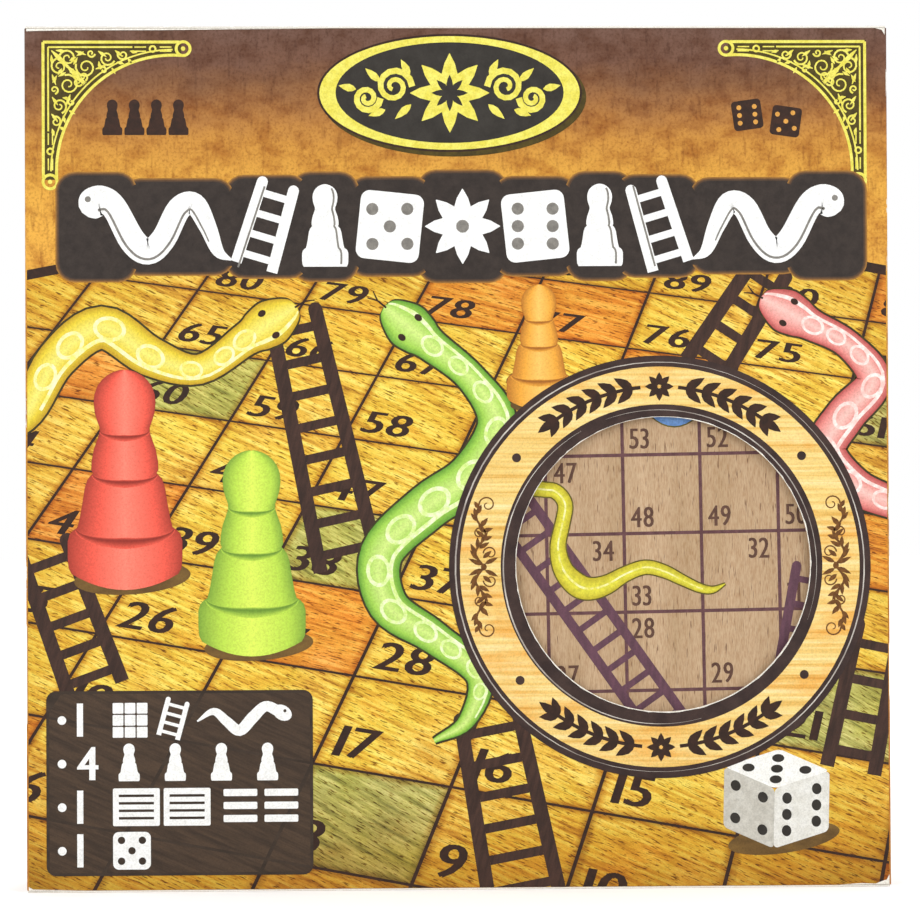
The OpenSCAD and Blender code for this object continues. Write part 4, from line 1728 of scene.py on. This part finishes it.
@dataclass
class BackPrint:
    """Print of the carton's back: a small flat board between a plaque and a row of signs."""

    face: PrintedFace
    font: Numerals
    square: float = 15.0
    middle: Point = (0.0, 128.0)

    def build(self) -> None:
        """Prints the back."""
        border, lines, gaps, ground, numbers, rails, *tones = sheets(9)
        for art, past, corner in ((border, 5, 3), (lines, 3.4, 2), (ground, 2.4, 1)):
            side = 10 * self.square + 2 * past
            art.tile(self.middle, (side, side), corner)
        x0, y0 = (c - 5 * self.square for c in self.middle)
        for row in range(10):
            for column in range(10):
                low = (x0 + column * self.square + 0.3, y0 + row * self.square + 0.3)
                tone = TONES[(2 * column + 3 * row + column * row) % len(TONES)]
                tones[tone].panel(low, (low[0] + 14.4, low[1] + 14.4), margin=1.8)
                numbers.number(snaked(row, column), (low[0] + 1.2, low[1] + 1.3), 4.2, self.font)
        for foot, top in (
            ((-52, 62), (-38, 110)), ((10, 66), (28, 98)), ((58, 88), (44, 142)), ((-20, 120), (-6, 176)),
            ((-60, 138), (-66, 188)),
        ):
            rails.ladder(foot, top, (6.4, 6.4), 1.5, 5)
        for side in (-1, 1):
            for up, y in ((-1, 261.4), (1, 5.6)):
                draw_filigree(lines, gaps, (side * 129.2, y), (-side, up), 0.9)
        rows = print_snakes(self.face, (
            Snake("red_snake", (
                (-30, 190, 6), (-42, 180, 5.4), (-44, 164, 7), (-30, 150, 7.4), (-34, 134, 7),
                (-50, 122, 5), (-56, 112, 1)), ("#f7b4a4", "#dd5a48", "#962c22", "#fff0e4")),
            Snake("blue_snake", (
                (60, 194, 6), (52, 180, 5.4), (60, 166, 7), (52, 152, 7.4), (30, 150, 7), (18, 136, 6),
                (22, 118, 4), (32, 112, 1)), ("#b4d4f4", "#6b9bd6", "#335f9c", "#edf6ff")),
            Snake("lime_snake", (
                (-6, 112, 6), (-14, 100, 5.4), (-6, 86, 7), (-16, 74, 7), (-36, 70, 6), (-44, 60, 1)),
                ("#dcf29a", "#a4d048", "#5f8f28", "#f6fbd8")),
        ), 6, ("snake_outlines", 5.5))
        print_rows(self.face, (
            (gaps, "filigree_gaps", 1, Inks.OLIVE_GAP), (border, "board_frame", 1, Inks.CHARCOAL),
            (lines, "bright_lines", 2, Inks.YELLOW), (ground, "board_lines", 3, Inks.LINE),
            *((art, name, 4, ink) for art, (name, ink) in zip(tones, TONE_PRINT)),
            (numbers, "square_numbers", 4.5, Inks.LINE), (rails, "ladders", 5, Inks.TIMBER), *rows,
        ))
        print_plaque(self.face, (0, 234), 1)
        print_frieze(self.face, (0, 26), 0.72, 1, 84)


@dataclass
class BoardPrint:
    """Print of the wooden board: lines, numbers, ladders and snakes in ink on bare veneer."""

    face: PrintedFace
    font: Numerals
    pitch: Point = (24.05, 24.35)
    middle: Point = (1.4, 0.7)
    line: float = 1.05
    corners: dict[int, Point] = field(default_factory=lambda: {
        47: (2.6, 16.0), 28: (1.9, 16.2), 34: (14.2, 16.0), 32: (14.6, 16.0)})

    def build(self) -> None:
        """Prints the board's face."""
        lines, numbers, rails = sheets(3)
        (x, y), (across, up) = self.middle, self.pitch
        x0, y0 = x - 5 * across, y - 5 * up
        for i in range(11):
            lines.tile((x0 + i * across, y), (self.line, 10 * up + self.line))
            lines.tile((x, y0 + i * up), (10 * across + self.line, self.line))
        for row in range(10):
            for column in range(10):
                value = snaked(row, column)
                dx, dy = self.corners.get(value, (2.2, 1.9))
                numbers.number(value, (x0 + column * across + dx, y0 + row * up + dy), 6.3, self.font)
        for foot, top, gap in (
            ((71.5, -97.5), (15.6, -15.9), 12.0), ((95.2, -97.0), (107.6, -35.6), 9.4),
            ((-84, -96), (-60, -38), 9.4), ((-30, -20), (-8, 44), 9.4), ((-98, 10), (-104, 86), 9.4),
            ((40, 40), (18, 104), 9.4),
        ):
            rails.ladder(foot, top, (gap, gap), 3.0, 7.5)
        print_rows(self.face, (
            (lines, "lines", 1, Inks.BOARD_LINE), (numbers, "numbers", 2, Inks.BOARD_NUMBER),
            (rails, "ladders", 3, Inks.BOARD_LADDER),
        ))
        self.snakes()

    def snakes(self) -> None:
        """Prints the snakes: flat colours with a fine dark outline and a pale gleam."""
        edge, eyes = sheets(2)
        for name, waypoints, (base, deep, pale) in (
            ("yellow_snake", (
                (-12, 2, 9), (-2, -1, 7), (10, -7, 5.2), (23.8, -9.3, 4.4), (28.6, -10.2, 4.3),
                (31.4, -14.2, 4.3), (30.4, -20.3, 4.3), (28.9, -27.4, 4.6), (30.4, -34.4, 5.8),
                (34.6, -39.2, 7.0), (38.8, -40.5, 6.6), (43.9, -39.3, 5.6), (49.6, -36.2, 4.4),
                (55.9, -34.2, 4.1), (61.8, -35.6, 3.7), (67.7, -38.6, 3.0), (72.8, -41.0, 2.5),
                (76.8, -41.6, 1.8), (80.7, -39.8, 0.2)), ("#e4dc44", "#c4b42e", "#f8f5b4")),
            ("blue_snake", (
                (40, 70, 9), (50, 62, 8.4), (55, 50, 9), (52, 38, 9), (57.6, 24, 8.8), (61.2, 16.6, 8.8),
                (65.9, 13.8, 8.8), (70.6, 16.6, 8.8), (74.4, 25, 8.4), (84, 30, 7), (92, 24, 5),
                (98, 26, 3), (104, 30, 0.5)), ("#7fa8e0", "#6a93cf", "#b9d2f2")),
            ("green_snake", (
                (-96, -22, 9), (-82, -30, 8), (-76, -46, 9), (-88, -60, 9), (-80, -76, 8), (-62, -84, 6),
                (-52, -98, 0.5)), ("#8cc050", "#78aa40", "#cfe6a0")),
            ("red_snake", (
                (-56, 96, 9), (-70, 86, 8), (-72, 66, 9), (-54, 54, 9), (-52, 36, 8), (-70, 24, 6),
                (-84, 28, 0.5)), ("#d8604c", "#c04c3c", "#f2b0a0")),
        ):
            body, gleam = sheets(2)
            x, y, width = waypoints[0]
            turn, head = snake_head(waypoints)
            path = smooth((*head, *waypoints), 5)
            edge.band(path, 4, extra=0.85)
            body.band(path, 4)
            gleam.band([(a, b, 0.3 + 0.06 * c) for a, b, c in path[24:-9]])
            for side in (-1, 1):
                eyes.disc(polar((x, y), width, turn + side * 24), (width * 0.12, width * 0.09), turn, 12)
            flat = Ink(
                f"board_ink_{name}", ((0.36, "#e6e6e2"), (0.6, "#ffffff")), (1.2, 1.2, 1.2), roughness=0.6,
                across=((0.0, deep), (0.3, base), (0.6, base), (1.0, deep)))
            print_rows(self.face, (
                (body, name, 5, flat),
                (gleam, f"{name}_gleam", 6, plain(f"board_ink_{name}_gleam", pale, base, roughness=0.6)),
            ))
        print_rows(self.face, (
            (edge, "snake_outlines", 4, Inks.BOARD_EDGE), (eyes, "snake_eyes", 7, Inks.BOARD_NUMBER)))


# Carton, insert and contents: the finishes of the CAD nodes

# The ground's fade from the foot to the head of a wall, and on the top and bottom flaps
SKY: Stops = (
    (0.0, "#bd7d2c"), (0.55, "#cf9336"), (0.77, "#e4aa45"), (0.82, "#dba240"), (0.865, "#c68c3b"),
    (0.89, "#b0793b"), (0.915, "#95653a"), (0.935, "#805738"), (0.96, "#6e4c3b"), (1.0, "#6b4e42"),
)
DUSK: Stops = ((0.0, "#6c4a40"), (0.5, "#7a5745"), (1.0, "#6e4c44"))
GLOW: Stops = ((0.0, "#b97c33"), (0.5, "#cf9640"), (1.0, "#bd8136"))


@dataclass
class Carton:
    """The folded carton: its panels' stock and all of its print."""

    faces: dict[str, PrintedFace]
    half_width: float
    half_depth: float
    height: float
    font: Numerals
    print_depth: float = 0.06
    side_depth: float = 0.45

    def stock(
        self, name: str, normals: Iterable[Waypoint], stops: Stops = SKY, axis: str = "X"
    ) -> FoldingBoxboard:
        """Boxboard that is printed on the sides that face these ways.

        Args:
            name: What it covers.
            normals: The outward directions of the printed sides.
            stops: The print's fade.
            axis: The axis at whose ends the print is scuffed.

        Returns:
            The finish.
        """
        outer = []
        for x, y, z in normals:
            distance = abs(x) * self.half_width + abs(y) * self.half_depth + (z > 0) * self.height
            outer.append(((x, y, z), distance, self.side_depth if x else self.print_depth))
        limit = self.half_width - 0.3 if axis == "X" else self.half_depth - 0.4
        return FoldingBoxboard(f"litho_boxboard_{name}", stops, tuple(outer), self.height, (axis, limit))

    def dress(self) -> None:
        """Finishes the panels, flaps and tongues."""
        left, right = (-1.0, 0.0, 0.0), (1.0, 0.0, 0.0)
        dress_node("front_panel", self.stock("front", ((0.0, -1.0, 0.0), left, right)))
        dress_node("back_panel", self.stock("back", ((0.0, 1.0, 0.0), left, right)))
        for name, normal in (("left_side_panel", left), ("right_side_panel", right)):
            dress_node(name, self.stock(name, (normal,), axis="Y"))
        lean = math.radians(TONGUE_LEAN)
        bare = FoldingBoxboard("boxboard_bare_white", SKY)
        dress_node("glue_flap", bare)
        for end, sign, stops, root in (
            ("top", 1, DUSK, self.height - CREASE_R), ("bottom", -1, GLOW, CREASE_R),
        ):
            dress_node(f"{end}_lid_flap", self.stock(f"{end}_flap", ((0.0, 0.0, float(sign)),), stops, "Y"))
            normal = Vector((0.0, math.cos(lean), sign * math.sin(lean)))
            distance = normal.dot(Vector((0.0, TONGUE_Y, root))) + STOCK_T / 2
            outer = ((tuple(normal), distance, self.print_depth),)
            dress_node(f"{end}_tuck_tongue", FoldingBoxboard(f"litho_boxboard_{end}_tongue", stops, outer))
            for side in ("left", "right"):
                dress_node(f"{end}_dust_flap_{side}", bare)

    def build(self) -> None:
        """Dresses the panels and prints every outer face."""
        self.dress()
        FrontPrint(self.faces["front"], self.font).build()
        BackPrint(self.faces["back"], self.font).build()
        SidePrint(self.faces["left"], "green_snake", GREEN_SNAKE, 1).build()
        SidePrint(self.faces["right"], "yellow_snake", YELLOW_SNAKE, -1).build()
        print_frieze(self.faces["top"], (0, -0.6), 0.86, 1, 122)
        print_frieze(self.faces["bottom"], (0, 0.6), 0.86, 1, 122)


@dataclass
class Contents:
    """The insert and what the carton holds."""

    faces: dict[str, PrintedFace]
    font: Numerals

    def build(self) -> None:
        """Dresses the insert, the board, the pawns, the die and the leaflet."""
        kraft = KraftCorrugated("kraft_corrugated_insert")
        for part in ("back_wall", "ledge", "shelf", "left_wall", "right_wall"):
            dress_node(f"insert_{part}", kraft)
        low, high = (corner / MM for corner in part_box("game_board"))
        dress_node("game_board", BeechPlywood("beech_plywood_sanded", low.y, high.y))
        BoardPrint(self.faces["board"], self.font).build()
        for colour, base, deep in (
            ("green", "#a8d84a", "#93c23a"), ("red", "#e0463a", "#c83830"),
            ("yellow", "#f0a62e", "#d98f22"), ("blue", "#2f6fc4", "#245cab"),
        ):
            dress_node(f"pawn_{colour}", Lacquer(f"lacquered_beech_{colour}", base, deep))
        low, high = (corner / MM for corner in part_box("die"))
        middle, half = tuple((low + high) / 2), (high.x - low.x) / 2
        dress_node("die", DiePlastic("urea_resin_die", middle, half, DIE_BALL))
        dress_node("instruction_leaflet", LeafletPaper("uncoated_leaflet_paper"))


@dataclass
class Studio:
    """Floor, lamps and camera."""

    distance: float = 1100.0
    front_y: float = -19.0
    camera_at: Point = (-31.9, 121.0)
    tilt: float = 0.609
    yaw: float = -1.681
    roll: float = -0.258
    lens: float = 139.3

    def camera(self) -> None:
        """Puts the camera where the photograph was taken from."""
        data = bpy.data.cameras.new("photo_camera")
        data.lens, data.sensor_width, data.clip_start, data.clip_end = self.lens, 36.0, 0.05, 50.0
        camera = bpy.data.objects.new("photo_camera", data)
        x, z = self.camera_at
        turn = (
            Matrix.Rotation(math.radians(self.yaw), 4, "Z")
            @ Matrix.Rotation(math.radians(90 + self.tilt), 4, "X")
            @ Matrix.Rotation(math.radians(self.roll), 4, "Z")
        )
        camera.matrix_world = Matrix.Translation(Vector((x, self.front_y - self.distance, z)) * MM) @ turn
        bpy.context.scene.collection.objects.link(camera)
        bpy.context.scene.camera = camera

    def floor(self) -> None:
        """Lays a plain white floor that keeps the carton's shadow."""
        mesh = bmesh.new()
        bmesh.ops.create_grid(mesh, x_segments=1, y_segments=1, size=6.0)
        data = bpy.data.meshes.new("studio_floor")
        mesh.to_mesh(data)
        mesh.free()
        made = bpy.data.materials.new("studio_floor_white")
        made.use_nodes = True
        nodes = Nodes(made.node_tree)
        # What is seen of the floor glows a little, and more further off, so that it is white up to its edge
        away = nodes.add("VectorMath", (nodes.add("TexCoord", out="Object"),), "Value", operation="LENGTH")
        glow = nodes.add("MapRange", {
            "Value": away, "From Min": 0.25, "From Max": 1.4, "To Min": 0.34, "To Max": 1.0})
        nodes.surface({
            "Roughness": 0.9, "Specular IOR Level": 0.1, "Base Color": linear("#e8e8e8"),
            "Emission Strength": nodes.add("Math", (self.seen_rays(nodes), glow), operation="MULTIPLY"),
            "Emission Color": linear("#ffffff")})
        data.materials.append(made)
        floor = bpy.data.objects.new("studio_floor", data)
        bpy.context.scene.collection.objects.link(floor)

    def seen_rays(self, nodes: Nodes) -> Socket:
        """Tells what is seen from what only lights the set.

        Args:
            nodes: The nodes of a material or of the world.

        Returns:
            1 for what the camera sees directly, in a gloss or through a clear material.
        """
        seen = nodes.add("LightPath", out="Is Camera Ray")
        for other in ("Is Glossy Ray", "Is Transmission Ray"):
            seen = nodes.add("Math", (seen, nodes.add("LightPath", out=other)), operation="MAXIMUM")
        return seen

    def world(self) -> None:
        """Surrounds the set with white, and lights it with less than it shows."""
        world = bpy.data.worlds.new("studio_world")
        bpy.context.scene.world = world
        world.use_nodes = True
        nodes = Nodes(world.node_tree)
        nodes.fill(world.node_tree.nodes["Background"], {
            "Color": linear("#ffffff"),
            "Strength": nodes.add("MapRange", {
                "Value": self.seen_rays(nodes), "To Min": 0.55, "To Max": 1.0})})

    def lamps(self) -> None:
        """Hangs soft boxes at the front left, front right and above."""
        for name, place, size, power in (
            ("front_left_softbox", (-1100, -1500, 900), 1300, 16),
            ("front_right_softbox", (1200, -1400, 800), 1300, 12.5),
            ("top_softbox", (0, 100, 1800), 1200, 9), ("rear_softbox", (200, 1500, 900), 1400, 12),
        ):
            data = bpy.data.lights.new(name, "AREA")
            data.shape, data.size, data.energy = "SQUARE", size * MM, power
            lamp = bpy.data.objects.new(name, data)
            at = Vector(place) * MM
            turn = (Vector((0, 0, 0.12)) - at).to_track_quat("-Z", "Y").to_matrix().to_4x4()
            lamp.matrix_world = Matrix.Translation(at) @ turn
            bpy.context.scene.collection.objects.link(lamp)

    def build(self) -> None:
        """Sets up the whole studio."""
        self.camera()
        self.floor()
        self.world()
        self.lamps()
        bpy.context.scene.view_settings.view_transform = "Standard"


def main() -> None:
    """Builds the studio, the carton and its contents."""
    logging.basicConfig(level=logging.INFO, format="%(name)s: %(message)s")
    Studio().build()
    high, faces = CAD_BOX[1], carton_faces()
    condensed, bold = Numerals(0.74, 0.05), Numerals(0.88, 0.06)
    Carton(faces, high.x, high.y, high.z, bold).build()
    Contents(faces, condensed).build()


if __name__ == "__main__":
    main()
